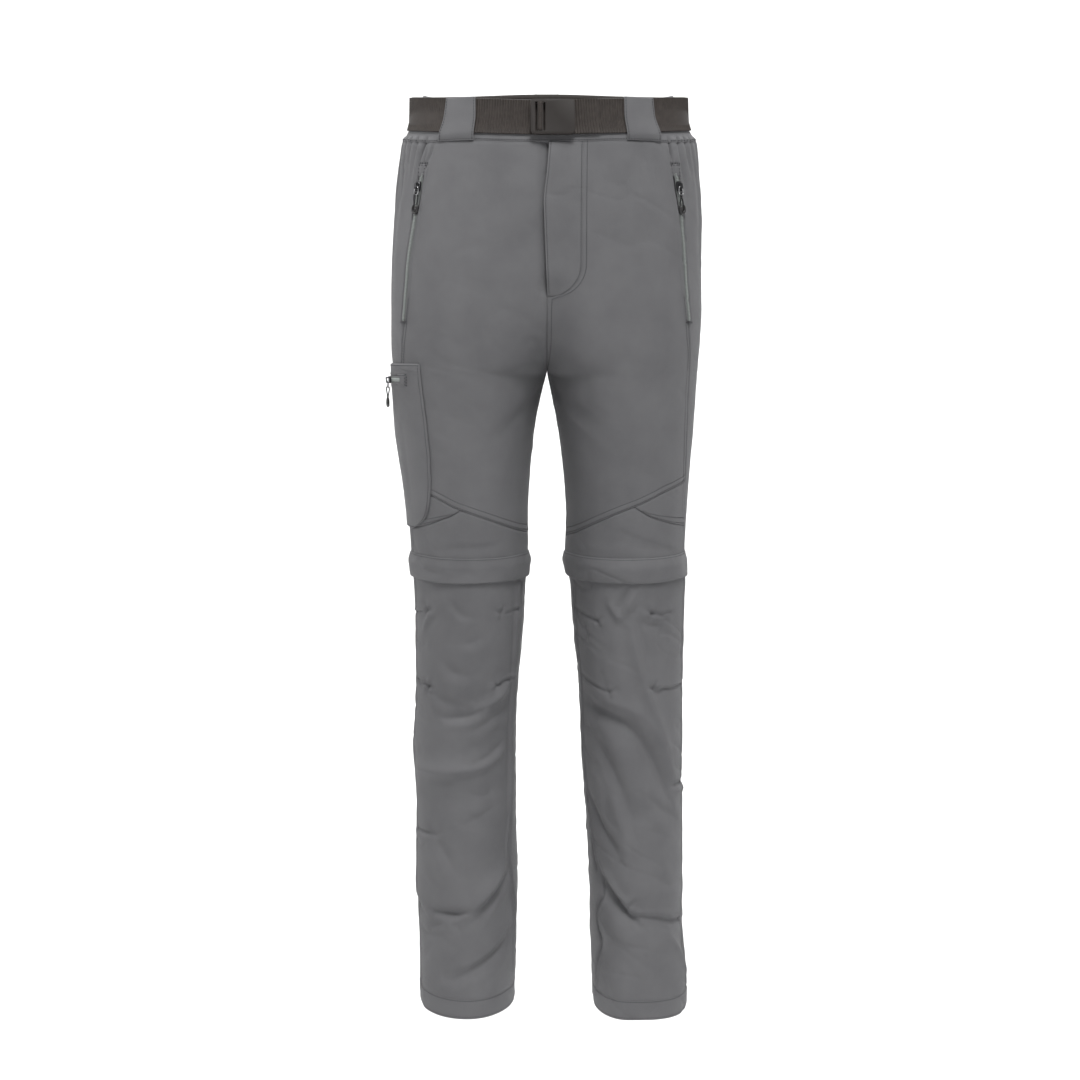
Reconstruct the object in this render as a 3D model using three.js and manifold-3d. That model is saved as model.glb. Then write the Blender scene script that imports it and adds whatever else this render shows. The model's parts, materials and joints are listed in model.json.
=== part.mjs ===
// Convertible zip-off trousers in their worn, hollow form. Millimetres, +Z up, the front faces -Y.
// Right and left are the wearer's: the right leg is on -X. The origin is the middle of the waist.
import * as THREE from 'three';
import Module from 'manifold-3d';
import { mergeVertices } from 'three/addons/utils/BufferGeometryUtils.js';

const wasm = await Module();
wasm.setup();

// Driving dimensions
const seamGap = 0.3; // between pieces that are sewn together
const wall = 1.8; // cloth with its seam allowance
const onPanel = 1; // how far a wide piece stands off the panel it lies on
const waistHeight = 44; // waistband
const waistNominal = -50; // seam under the waistband, before it is raised and lowered round the body
const kneeEdge = -531; // where the upper legs end
const kneeZipHeight = 8.4;
const lowerTop = kneeEdge - kneeZipHeight - 2 * seamGap;
const hemNominal = -1045;
const hemHeight = 22;
const flyWidth = 38;
const flyStraightEnd = -198; // where the curve at the foot of the fly starts
const flyEnd = -234;
const beltHeight = 36;
const beltThick = 1.8;
const beltDrop = 2.5; // belt's top edge under the waistband's
const beltOff = 0.9; // from the waistband to the belt
const overBelt = 0.6; // from the belt to what lies over it
const foldReach = 14; // half width of a modelled fold
const crotch = -320;

function table(names, ...rows) {
  const keys = names.split(' ');
  return rows.map((row) => Object.fromEntries(keys.map((key, i) => [key, row[i]])));
}

// Half sections of the body in plan, from the centre front or inseam round the side to the back.
// out and in are distances from the middle plane, front and back are depths, turn is 0 where the
// cloth runs straight across the middle and 1 where it runs fore and aft, as at an inseam.
const sections = table(
  'z outRight inRight outLeft inLeft xFront front xBack back midFront midBack turnFront turnBack side',
  [10, 152, 0, 155.5, 0, 45, 102, 55, 106, -102, 106, 0, 0, 4],
  [0, 153, 0, 156.5, 0, 45, 102, 55, 107, -102, 107, 0, 0, 4],
  [-36, 154, 0, 158, 0, 46, 105, 57, 111, -105, 111, 0, 0, 4],
  [-60, 163, 0, 168, 0, 48, 109, 60, 117, -109, 117, 0, 0, 4],
  [-100, 168, 0, 172, 0, 52, 115, 66, 127, -115, 126, 0, 0, 4],
  [-150, 173, 0, 175, 0, 58, 120, 74, 136, -118, 132, 0.05, 0.05, 5],
  [-200, 177, 0, 175, 0, 64, 122, 80, 140, -117, 131, 0.12, 0.15, 6],
  [-245, 178, 0, 176, 0, 70, 121, 84, 138, -109, 116, 0.28, 0.35, 6],
  [-275, 178, 0, 175, 0, 76, 119, 87, 134, -95, 92, 0.48, 0.55, 5],
  [-295, 177.4, 0, 173.6, 0, 81, 117, 88, 130, -75, 68, 0.7, 0.74, 4],
  [-307, 176.6, 0, 172.6, 0, 84, 115, 89, 127, -50, 44, 0.85, 0.88, 3],
  [-314, 176, 0, 172, 0, 86, 114, 90, 125, -18, 26, 0.96, 0.97, 2],
  [-320, 175.5, 1, 171.5, 0.8, 87, 113, 90, 123, 8, 8, 1, 1, 2],
  [-340, 173.5, 6, 170, 5, 89, 111, 91, 119, 4, 4, 1, 1, 1],
  [-375, 169.5, 13, 167.5, 12, 91, 107, 92, 112, 0, 0, 1, 1, 0],
  [-430, 161.5, 19, 163, 19, 92, 101, 92, 104, -3, -3, 1, 1, -2],
  [-480, 158, 22, 160, 22, 91, 94, 92, 95, -6, -6, 1, 1, -4],
  [-525, 155.5, 22, 158.5, 20.5, 90, 87, 91, 88, -7, -7, 1, 1, -4],
  [-560, 153.5, 25.5, 160, 26.5, 90, 84, 92, 86, -5, -5, 1, 1, -2],
  [-610, 152.5, 28, 158.5, 30, 91, 80, 93, 88, -1, -1, 1, 1, 2],
  [-670, 152.5, 33, 156.5, 36, 92, 75, 94, 91, 4, 4, 1, 1, 6],
  [-740, 155, 36.5, 156.5, 40, 94, 71, 95, 92, 8, 8, 1, 1, 9],
  [-820, 151.5, 36.5, 157, 45, 94, 69, 96, 90, 8, 8, 1, 1, 9],
  [-900, 152.5, 34, 158, 49.5, 94, 69, 96, 86, 7, 7, 1, 1, 8],
  [-970, 149, 36, 160, 51, 92, 71, 97, 81, 4, 4, 1, 1, 5],
  [-1010, 148.5, 37, 163, 52.5, 91, 73, 99, 78, 3, 3, 1, 1, 3],
  [-1060, 148, 38, 163.5, 53.5, 91, 75, 99, 77, 2, 2, 1, 1, 2],
);

// Side seam: how far it lies in front of the body's widest point, measured round the cloth
const sideSeamLine = table(
  'z ahead',
  [-40, 88],
  [-110, 87],
  [-232, 80],
  [-304, 66],
  [-375, 56],
  [-450, 40],
  [-531, 22],
  [-700, 17],
  [-1060, 14],
);

// Lower edge of the hems by share of the way round a leg
const hemLine = {
  right: table('share z', [0, -1043], [0.1, -1047.5], [0.25, -1050], [0.42, -1048], [0.5, -1043], [0.75, -1036],
    [1, -1043]),
  left: table('share z', [0, -1043], [0.1, -1049], [0.25, -1052], [0.4, -1055], [0.5, -1050], [0.75, -1040],
    [1, -1043]),
};

// Upper and lower knee seams on the front of the thighs
const kneeSeamRight = table('share z', [0, -498], [0.08, -494], [0.25, -468], [0.317, -453], [0.44, -438]);
const kneeSeamLeft = table('share z', [0, -502], [0.083, -496], [0.246, -465], [0.338, -446], [0.44, -434]);
const wedgeSeamRight = table('share z', [0.25, -469], [0.279, -476], [0.367, -488], [0.44, -492]);
const wedgeSeamLeft = table('share z', [0.25, -467], [0.29, -476], [0.36, -485], [0.44, -490]);

// Largest folds: a trough where lift is negative, a ridge where it is positive
const folds = table(
  'leg share z toShare toZ lift',
  ['right', 0.1, -664, 0.21, -693, 3.5],
  ['right', 0.2, -686, 0.3, -704, -4],
  ['right', 0.41, -770, 0.22, -764, 3],
  ['right', 0.225, -745, 0.13, -730, -3],
  ['right', 0.25, -800, 0.12, -788, -2.5],
  ['right', 0.34, -934, 0.24, -936, -3.5],
  ['right', 0.24, -925, 0.13, -884, 3.5],
  ['right', 0.29, -1000, 0.11, -968, -2.5],
  ['left', 0.11, -694, 0.22, -710, -4],
  ['left', 0.22, -710, 0.36, -795, -5],
  ['left', 0.13, -734, 0.24, -818, -2.5],
  ['left', 0.08, -806, 0.2, -862, -2.5],
  ['left', 0.15, -892, 0.25, -938, -4.5],
  ['left', 0.25, -938, 0.47, -950, -3.5],
  ['left', 0.27, -905, 0.44, -912, 3],
  ['right', 0.62, -575, 0.9, -590, -4],
  ['right', 0.6, -640, 0.86, -625, -3],
  ['right', 0.64, -745, 0.93, -780, -4],
  ['right', 0.6, -865, 0.86, -842, -3.5],
  ['right', 0.66, -948, 0.9, -972, -3.5],
  ['left', 0.62, -585, 0.9, -572, -4],
  ['left', 0.6, -655, 0.85, -668, -3],
  ['left', 0.62, -770, 0.92, -742, -4],
  ['left', 0.62, -868, 0.88, -896, -3.5],
  ['left', 0.64, -962, 0.9, -940, -3.5],
  ['right', 0.62, -330, 0.84, -345, -3],
  ['left', 0.62, -338, 0.84, -326, -3],
);

const sideSign = { right: -1, left: 1 };
const outKey = { right: 'outRight', left: 'outLeft' };
const inKey = { right: 'inRight', left: 'inLeft' };
const clamp = (value, low, high) => Math.min(high, Math.max(low, value));
const mix = (a, b, t) => a + (b - a) * t;
const smooth = (t) => t * t * (3 - 2 * t);

// A smooth curve without overshoot through a table's rows; at is the column that is read along
function follow(rows, at, key, value) {
  const way = Math.sign(rows[rows.length - 1][at] - rows[0][at]);
  let i = 0;
  while (i < rows.length - 2 && (value - rows[i + 1][at]) * way >= 0) i += 1;
  const [a, b] = [rows[i], rows[i + 1]];
  const span = b[at] - a[at];
  const slope = (b[key] - a[key]) / span;
  const slopeOf = (p, q) => (p && q ? (q[key] - p[key]) / (q[at] - p[at]) : slope);
  const before = slopeOf(rows[i - 1], a);
  const after = slopeOf(b, rows[i + 2]);
  const tangent = (other) => (other * slope > 0 ? (2 * other * slope) / (other + slope) : 0);
  const t = clamp((value - a[at]) / span, 0, 1);
  return (2 * t ** 3 - 3 * t ** 2 + 1) * a[key] + (t ** 3 - 2 * t ** 2 + t) * span * tangent(before)
    + (3 * t ** 2 - 2 * t ** 3) * b[key] + (t ** 3 - t ** 2) * span * tangent(after);
}

// One half section as points in plan, with the distance along it
const round = 0.5523; // handle of a quarter ellipse
const quarterSteps = 16;
const kept = new Map();
function halfSection(leg, z) {
  const name = `${leg} ${z.toFixed(3)}`;
  if (kept.has(name)) return kept.get(name);
  const get = (key) => follow(sections, 'z', key, z);
  const [out, inner] = [get(outKey[leg]), get(inKey[leg])];
  const [xFront, front, xBack, back, side] = ['xFront', 'front', 'xBack', 'back', 'side'].map(get);
  const midFront = get('midFront');
  const midBack = z > crotch ? get('midBack') : midFront;
  const turnFront = get('turnFront') * Math.PI / 2;
  const turnBack = get('turnBack') * Math.PI / 2;
  const v = (x, y) => new THREE.Vector2(x, y);
  const [dxFront, dyFront] = [round * (xFront - inner), round * (front + midFront)];
  const [dxBack, dyBack] = [round * (xBack - inner), round * (back - midBack)];
  const quarters = [
    [v(inner, midFront), v(inner + dxFront * Math.cos(turnFront), midFront - dyFront * Math.sin(turnFront)),
      v(xFront - dxFront, -front), v(xFront, -front)],
    [v(xFront, -front), v(xFront + round * (out - xFront), -front),
      v(out, side - round * (front + side)), v(out, side)],
    [v(out, side), v(out, side + round * (back - side)), v(xBack + round * (out - xBack), back), v(xBack, back)],
    [v(xBack, back), v(xBack - dxBack, back),
      v(inner + dxBack * Math.cos(turnBack), midBack + dyBack * Math.sin(turnBack)), v(inner, midBack)],
  ];
  const points = [v(inner, midFront)];
  for (const quarter of quarters) {
    points.push(...new THREE.CubicBezierCurve(...quarter).getPoints(quarterSteps).slice(1));
  }
  const along = [0];
  points.slice(1).forEach((p, i) => along.push(along[i] + p.distanceTo(points[i])));
  const made = { points, along, girth: along[along.length - 1] };
  kept.set(name, made);
  return made;
}

function surface(leg, share, z) {
  const { points, along, girth } = halfSection(leg, z);
  const want = clamp(share, 0, 1) * girth;
  let [low, high] = [0, points.length - 1];
  while (high - low > 1) {
    const middle = (low + high) >> 1;
    if (along[middle] <= want) low = middle;
    else high = middle;
  }
  const t = (want - along[low]) / (along[high] - along[low]);
  const p = points[low].clone().lerp(points[high], t);
  return new THREE.Vector3(p.x * sideSign[leg], p.y, z);
}

// Distance in millimetres as a share of the way round
const share = (leg, z, mm) => mm / halfSection(leg, z).girth;

function shareAtX(leg, z, x) {
  let [low, high] = [0, 0.5];
  for (let i = 0; i < 30; i += 1) {
    const middle = (low + high) / 2;
    if (Math.abs(surface(leg, middle, z).x) < Math.abs(x)) low = middle;
    else high = middle;
  }
  return low;
}

function outward(leg, where, z) {
  const [stepShare, stepZ] = [0.004, 1.5];
  const a = surface(leg, Math.max(where - stepShare, 0), z);
  const b = surface(leg, Math.min(where + stepShare, 1), z);
  const up = surface(leg, where, z + stepZ);
  const down = surface(leg, where, z - stepZ);
  const normal = b.sub(a).cross(up.sub(down)).normalize();
  return normal.multiplyScalar(sideSign[leg]);
}

function foldLift(leg, where, z) {
  const { girth } = halfSection(leg, z);
  let lift = 0;
  for (const fold of folds.filter((row) => row.leg === leg)) {
    const from = new THREE.Vector2(fold.share * girth, fold.z);
    const to = new THREE.Vector2(fold.toShare * girth, fold.toZ);
    const at = new THREE.Vector2(where * girth, z);
    const run = to.clone().sub(from);
    const t = clamp(at.clone().sub(from).dot(run) / run.lengthSq(), 0, 1);
    const away = at.distanceTo(from.addScaledVector(run, t)) / foldReach;
    lift += fold.lift * Math.exp(-away * away) * (0.55 + 0.45 * Math.sin(Math.PI * t));
  }
  return lift;
}

// A point off the body's surface, kept on its own side of the middle plane
function skin(leg, where, z, off) {
  const p = surface(leg, where, z).addScaledVector(outward(leg, where, z), off + foldLift(leg, where, z));
  p.x = sideSign[leg] * Math.max(sideSign[leg] * p.x, seamGap / 2);
  return p;
}

// The same all round the waist: 0 to 1 is the left half from the front, 1 to 2 the right half back again
function roundWaist(turn, z, off) {
  const q = ((turn % 2) + 2) % 2;
  const leg = q <= 1 ? 'left' : 'right';
  const where = q <= 1 ? q : 2 - q;
  return surface(leg, where, z).addScaledVector(outward(leg, where, z), off);
}

// Waistband's top edge, low in front and high behind, and the seam under it
const waistTop = (where) => -6 - 14 * Math.cos(Math.PI * where);
const waistSeam = (where) => waistTop(where) - waistHeight;
const fall = (distance, reach) => smooth(clamp(1 - distance / reach, 0, 1));
const upperWarp = (where, z) => z + (waistSeam(where) - waistNominal) * fall(waistNominal - z, 110);
const hemEdge = (leg, where) => follow(hemLine[leg], 'share', 'z', where);
const lowerWarp = (leg, where, z) => z + (hemEdge(leg, where) - hemNominal) * fall(z - hemNominal, 130);

// Share of a place that lies some millimetres in front of the widest point, or behind it when negative
function shareAhead(leg, z, mm) {
  const { along, girth } = halfSection(leg, z);
  return (along[2 * quarterSteps] - mm) / girth;
}
const sideSeam = (leg, z) => shareAhead(leg, z, follow(sideSeamLine, 'z', 'ahead', z));

// Closed wall between an outer and an inner grid of points, joined end to end where it wraps
function closedWall(outer, inner, wraps) {
  const [rows, columns] = [outer.length, outer[0].length];
  const positions = [...outer, ...inner].flat().flatMap((p) => [p.x, p.y, p.z]);
  const at = (layer, row, column) => (layer * rows + row) * columns + (column % columns);
  const index = [];
  const quad = (a, b, c, d) => index.push(a, b, c, a, c, d);
  const spans = wraps ? columns : columns - 1;
  for (let i = 0; i < spans; i += 1) {
    for (let j = 0; j < rows - 1; j += 1) {
      quad(at(0, j, i), at(0, j + 1, i), at(0, j + 1, i + 1), at(0, j, i + 1));
      quad(at(1, j, i + 1), at(1, j + 1, i + 1), at(1, j + 1, i), at(1, j, i));
    }
    quad(at(1, 0, i), at(0, 0, i), at(0, 0, i + 1), at(1, 0, i + 1));
    quad(at(0, rows - 1, i), at(1, rows - 1, i), at(1, rows - 1, i + 1), at(0, rows - 1, i + 1));
  }
  if (!wraps) {
    for (let j = 0; j < rows - 1; j += 1) {
      quad(at(0, j, 0), at(1, j, 0), at(1, j + 1, 0), at(0, j + 1, 0));
      quad(at(1, j, columns - 1), at(0, j, columns - 1), at(0, j + 1, columns - 1), at(1, j + 1, columns - 1));
    }
  }
  return facingOut(positions, index);
}

// Closed bar through rings of points, each with the same outline, capped where it doesn't close
function closedBar(rings, outline, closes) {
  const count = outline.length;
  const positions = rings.flat().flatMap((p) => [p.x, p.y, p.z]);
  const index = [];
  const last = closes ? rings.length : rings.length - 1;
  for (let j = 0; j < last; j += 1) {
    const [here, next] = [j * count, ((j + 1) % rings.length) * count];
    for (let i = 0; i < count; i += 1) {
      const k = (i + 1) % count;
      index.push(here + i, here + k, next + k, here + i, next + k, next + i);
    }
  }
  if (!closes) {
    const end = (rings.length - 1) * count;
    for (const [a, b, c] of THREE.ShapeUtils.triangulateShape(outline, [])) {
      const turned = THREE.ShapeUtils.isClockWise(outline) ? [a, b, c] : [a, c, b];
      index.push(...turned, ...[...turned].reverse().map((i) => i + end));
    }
  }
  return facingOut(positions, index);
}

function facingOut(positions, index) {
  let volume = 0;
  const corner = (i) => new THREE.Vector3().fromArray(positions, 3 * i);
  for (let i = 0; i < index.length; i += 3) {
    volume += corner(index[i]).dot(corner(index[i + 1]).cross(corner(index[i + 2])));
  }
  const geometry = new THREE.BufferGeometry();
  geometry.setAttribute('position', new THREE.Float32BufferAttribute(positions, 3));
  geometry.setIndex(volume > 0 ? index : [...index].reverse());
  geometry.computeVertexNormals();
  return geometry;
}

// A cut panel of cloth: rows are its levels, shares lists its columns on a row, place gives a height
function panel({ leg, rows, shares, place, inner = -wall, thick = () => wall }) {
  const grid = (depth) => rows.map((row) => shares(row).map((where) => {
    const z = place(where, row);
    return skin(leg, where, z, depth(where, z));
  }));
  return closedWall(grid((where, z) => inner + thick(where, z)), grid(() => inner), false);
}

const evenly = (count) => Array.from({ length: count + 1 }, (_, i) => i / count);
const spread = (from, to, parts) => parts.map((part) => mix(from, to, part));

// A ring of cloth round one leg, with a row for each height and offset
function legRing(leg, rows, shares, thick) {
  const grid = (extra) => rows.map((row) => shares.map((where) => (
    skin(leg, where, row.z(where), row.off + extra))));
  return closedWall(grid(thick), grid(0), true);
}

function joined(...geometries) {
  const solids = geometries.map((geometry) => {
    const plain = geometry.clone();
    plain.deleteAttribute('normal');
    plain.deleteAttribute('uv');
    const merged = mergeVertices(plain, 1e-4);
    return new wasm.Manifold(new wasm.Mesh({
      numProp: 3,
      vertProperties: new Float32Array(merged.attributes.position.array),
      triVerts: new Uint32Array(merged.index.array),
    }));
  });
  const mesh = solids.reduce((a, b) => a.add(b)).getMesh();
  const geometry = new THREE.BufferGeometry();
  geometry.setAttribute('position', new THREE.BufferAttribute(mesh.vertProperties, 3));
  geometry.setIndex(new THREE.BufferAttribute(mesh.triVerts, 1));
  geometry.computeVertexNormals();
  return geometry;
}

const finish = (color, roughness, metalness) => () => (
  new THREE.MeshStandardMaterial({ color, roughness, metalness }));
const cloth = finish(0x6c6c6e, 0.85, 0);
const webbing = finish(0x45403d, 0.7, 0);
const moulded = finish(0x3f3c3a, 0.5, 0);
const zipTape = finish(0x7f8481, 0.8, 0);
const darkMetal = finish(0x4b4b4d, 0.4, 0.8);
const silverMetal = finish(0xb4b4b6, 0.3, 0.9);
const cordColour = finish(0x1d1d1f, 0.8, 0);

const trousers = new THREE.Group();
function add(name, geometry, material, group = trousers) {
  const mesh = new THREE.Mesh(geometry, material());
  mesh.name = name;
  group.add(mesh);
  return mesh;
}

const legs = ['right', 'left'];
const half = (leg, z) => share(leg, z, seamGap / 2);
const flyRow = -232; // last row of the fly
const flyRowEnd = flyRow - 0.5;
const flyCurve = (z) => {
  const t = clamp(flyStraightEnd - z, 0, flyStraightEnd - flyRow) / (flyStraightEnd - flyEnd);
  return flyWidth * Math.sqrt(1 - t * t);
};
const thighRows = [waistNominal - seamGap, -75, -103, -135, -168, flyStraightEnd, -212, -223, flyRow, flyRow - 1,
  -250, -268, -284, -297, -306, -312, -317, -324, -338, -358, -380, -405, -430];
const backRows = [...thighRows, -437, -455, -473, -491, -511, kneeEdge];
const shinRows = [lowerTop, -560, -581, -602, -624, -647, -670, -693, -716, -740, -765, -790, -815, -840, -866, -892,
  -918, -943, -966, -988, -1006, hemNominal + hemHeight];

function upperLegs() {
  const kneeSeam = { right: kneeSeamRight, left: kneeSeamLeft };
  const wedgeSeam = { right: wedgeSeamRight, left: wedgeSeamLeft };
  // columns of the front, as parts of its width: the wedge starts at the sixth
  const parts = [0, 0.11, 0.22, 0.33, 0.44, 0.535, 0.625, 0.75, 0.875, 1];
  const tip = 6;
  const last = thighRows[thighRows.length - 1];
  const seamRows = [1 / 3, 2 / 3, 1];
  for (const leg of legs) {
    const seamAt = (where) => follow(kneeSeam[leg], 'share', 'z', where);
    const wedgeAt = (where) => follow(wedgeSeam[leg], 'share', 'z', where);
    // share of the side seam where it crosses a line that isn't level
    const sideOf = (line) => {
      let where = 0.42;
      for (let i = 0; i < 5; i += 1) where = sideSeam(leg, line(where));
      return where - half(leg, line(where));
    };
    const inner = (z) => (leg === 'left' && z > flyRowEnd ? share(leg, z, flyCurve(z)) : half(leg, z));
    const low = (where, row) => mix(last, seamAt(where), row);
    const seamShares = spread(half(leg, last), sideOf(seamAt), parts);
    add(`front_${leg}`, panel({
      leg,
      rows: [...thighRows, ...seamRows],
      shares: (row) => (row > 0
        ? spread(half(leg, last), sideOf((where) => low(where, row)), parts)
        : spread(inner(row), sideSeam(leg, row) - half(leg, row), parts)),
      place: (where, row) => (row > 0 ? low(where, row) : upperWarp(where, row)),
    }), cloth);
    add(`back_${leg}`, panel({
      leg,
      rows: backRows,
      shares: (z) => spread(sideSeam(leg, z) + half(leg, z), 1 - half(leg, z), evenly(10)),
      place: upperWarp,
    }), cloth);
    const wedgeEnd = sideOf(wedgeAt);
    const wedgeStart = seamShares[seamShares.length - 1];
    const wedgeBottom = spread(seamShares[tip], wedgeEnd, evenly(3));
    const wedgeLine = (where, row) => mix(seamAt(where) - seamGap, wedgeAt(where) + seamGap / 2, row);
    add(`side_wedge_${leg}`, panel({
      leg,
      rows: [0, 0.5, 1],
      shares: (row) => {
        const side = sideOf((where) => wedgeLine(where, row));
        return seamShares.slice(tip).map((where, i) => (
          mix(where, wedgeBottom[i], row) + (side - mix(wedgeStart, wedgeEnd, row)) * (i / 3)));
      },
      place: wedgeLine,
    }), cloth);
    const topShares = [...seamShares.slice(0, tip), ...wedgeBottom];
    const topAt = (where) => (where < wedgeBottom[0] - 1e-4 ? seamAt(where) - seamGap : wedgeAt(where) - seamGap / 2);
    const kneeEnd = sideSeam(leg, kneeEdge) - half(leg, kneeEdge);
    const kneeShares = spread(half(leg, kneeEdge), kneeEnd, evenly(topShares.length - 1));
    add(`knee_panel_${leg}`, panel({
      leg,
      rows: [0, 0.5, 1],
      shares: (row) => topShares.map((where, i) => mix(where, kneeShares[i], row)),
      place: (where, row) => mix(topAt(where), kneeEdge, row),
    }), cloth);
  }
  const stand = 1.2; // how much the fly's edge stands proud
  add('fly', panel({
    leg: 'left',
    rows: thighRows.filter((z) => z > flyRowEnd),
    shares: (z) => spread(half('left', z), share('left', z, flyCurve(z) - seamGap), evenly(3)),
    place: (where, row) => upperWarp(where, row) + (row === flyRow ? seamGap : 0),
    thick: (where, z) => wall + stand * fall(where * halfSection('left', z).girth, 10),
  }), cloth);
}

// Under each knee flap a zip ring joins the upper leg to the lower one
function knees() {
  const flapDrop = table('share z', [0, -547], [0.12, -549], [0.28, -550.5], [0.42, -548], [0.6, -549], [0.8, -550],
    [1, -547]);
  for (const leg of legs) {
    const zipTop = kneeEdge - seamGap;
    add(`knee_zip_${leg}`, legRing(leg, [
      { z: () => zipTop, off: -wall },
      { z: () => zipTop - kneeZipHeight, off: -wall },
    ], evenly(30).slice(0, 30), wall), zipTape);
    const slider = new THREE.BoxGeometry(7, 7, 0.9);
    place(add(`knee_slider_${leg}`, slider, darkMetal), leg, 0.93, zipTop - kneeZipHeight / 2 - 0.4, 0.85);
    add(`knee_flap_${leg}`, legRing(leg, [
      { z: () => -521, off: 0.8 },
      { z: (where) => mix(-521, follow(flapDrop, 'share', 'z', where), 0.5), off: 2.4 },
      { z: (where) => follow(flapDrop, 'share', 'z', where), off: 3.2 },
    ], evenly(32).slice(0, 32), 1.6), cloth);
  }
}

function lowerLegs() {
  const columns = evenly(9);
  for (const leg of legs) {
    add(`lower_front_${leg}`, panel({
      leg,
      rows: shinRows,
      shares: (z) => spread(half(leg, z), sideSeam(leg, z) - half(leg, z), columns),
      place: (where, z) => lowerWarp(leg, where, z),
    }), cloth);
    add(`lower_back_${leg}`, panel({
      leg,
      rows: shinRows,
      shares: (z) => spread(sideSeam(leg, z) + half(leg, z), 1 - half(leg, z), columns),
      place: (where, z) => lowerWarp(leg, where, z),
    }), cloth);
    const side = sideSeam(leg, hemNominal);
    const around = [...spread(0, side, columns), ...spread(side, 1, columns).slice(1, -1)];
    const hemTop = hemNominal + hemHeight - seamGap;
    const proud = 0.4;
    add(`hem_${leg}`, legRing(leg, [
      { z: (where) => lowerWarp(leg, where, hemTop), off: -wall - proud },
      { z: (where) => lowerWarp(leg, where, hemNominal), off: -wall - proud },
    ], around, wall + 2 * proud), cloth);
  }
}

// Puts a mesh on the body: its Z points out of the cloth and its Y up
function place(mesh, leg, where, z, off) {
  const normal = outward(leg, where, z);
  const across = new THREE.Vector3(0, 0, 1).cross(normal).normalize();
  const up = normal.clone().cross(across);
  mesh.position.copy(skin(leg, where, z, off));
  mesh.quaternion.setFromRotationMatrix(new THREE.Matrix4().makeBasis(across, up, normal));
  return mesh;
}

const waistTurns = Array.from({ length: 56 }, (_, i) => i / 28);

function waist() {
  const edge = (turn) => (turn <= 1 ? turn : 2 - turn);
  // gathers of the elastic at the sides, as small waves in the band
  const gather = (turn) => {
    const q = edge(turn);
    const inElastic = fall(Math.abs(q - 0.42), 0.16);
    return 0.6 * inElastic * (Math.round(turn * 28) % 2 ? 1 : -0.6);
  };
  const levels = [0, 0.5, (beltDrop + beltHeight) / (waistHeight - seamGap), 1];
  const grid = (off) => levels.map((level) => waistTurns.map((turn) => {
    const z = waistTop(edge(turn)) - level * (waistHeight - seamGap);
    return roundWaist(turn, z, off + (level === 1 ? gather(turn) : 0));
  }));
  add('waistband', closedWall(grid(0), grid(-wall - 0.4), true), cloth);

  // The belt starts behind the buckle, runs round the back and doubles back on itself by the buckle
  const turnAtX = (x) => {
    const where = shareAtX(x > 0 ? 'left' : 'right', -40, x);
    return x > 0 ? where : -where;
  };
  const start = turnAtX(26);
  const end = 2 + turnAtX(-1);
  const foldEnd = turnAtX(55);
  const step = 0.002;
  const turns = [start, (start + foldEnd) / 2, foldEnd - step, foldEnd,
    ...waistTurns.filter((turn) => turn > foldEnd + 0.01 && turn < end - 0.01), end];
  const rings = turns.map((turn) => {
    const q = edge(turn);
    const [top, bottom] = [waistTop(q) - beltDrop, waistTop(q) - beltDrop - beltHeight];
    const thick = turn < foldEnd ? 2 * beltThick : beltThick;
    const [low, high] = [beltOff, beltOff + thick];
    return [[top, low], [top, high], [bottom, high], [bottom, low]].map(([z, off]) => roundWaist(turn, z, off));
  });
  const corners = [[0, 0], [0, 1], [-1, 1], [-1, 0]].map(([x, y]) => new THREE.Vector2(x, y));
  add('belt', closedBar(rings, corners, false), webbing);

  // Belt loops: share of the way round, and widths at the top and bottom
  const loops = table(
    'name leg share top bottom',
    ['loop_front_right', 'right', 0.222, 36, 42],
    ['loop_front_left', 'left', 0.232, 36, 40],
    ['loop_back_right', 'right', 0.66, 30, 32],
    ['loop_back_left', 'left', 0.66, 30, 32],
    ['loop_back_middle', 'left', 1, 30, 32],
  );
  // a loop in profile, as heights from its top and distances from the waistband
  const over = beltOff + beltThick + overBelt;
  const cut = 1.4; // thickness of a loop
  const [loopEnd, footOff] = [-47, 0.8];
  const outline = [[0.4, seamGap], [0.4, over + cut], [-41, over + cut], [-43, 2 * footOff + cut],
    [loopEnd, footOff + cut], [loopEnd, footOff], [-44, footOff], [-41, over], [-1, over], [-1, seamGap]];
  const flat = outline.map(([z, off]) => new THREE.Vector2(z, off));
  for (const loop of loops) {
    const slices = evenly(4).map((part) => {
      const across = part - 0.5;
      return outline.map(([drop, off]) => {
        const width = mix(loop.top, loop.bottom, drop / loopEnd);
        const shift = share(loop.leg, -40, across * width);
        const turn = (loop.leg === 'left' ? loop.share : 2 - loop.share) + shift;
        return roundWaist(turn, waistTop(loop.share) + drop, off);
      });
    });
    add(loop.name, closedBar(slices, flat, false), cloth);
  }

  const [buckleWidth, buckleHeight, buckleThick, buckleX] = [48, 38.5, 5, 5.8];
  const buckle = roundedShape(buckleWidth, buckleHeight, 5);
  for (const [x, height] of [[-17.8, 32], [-9.2, 31]]) buckle.holes.push(slot(x, 2.4, height));
  const geometry = new THREE.ExtrudeGeometry(buckle, {
    depth: buckleThick, bevelEnabled: false, curveSegments: 3,
  });
  const z = waistTop(0) - beltDrop - beltHeight / 2;
  const off = beltOff + 2 * beltThick + overBelt;
  place(add('buckle', geometry, moulded), 'left', shareAtX('left', z, buckleX), z, off);
}

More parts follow.
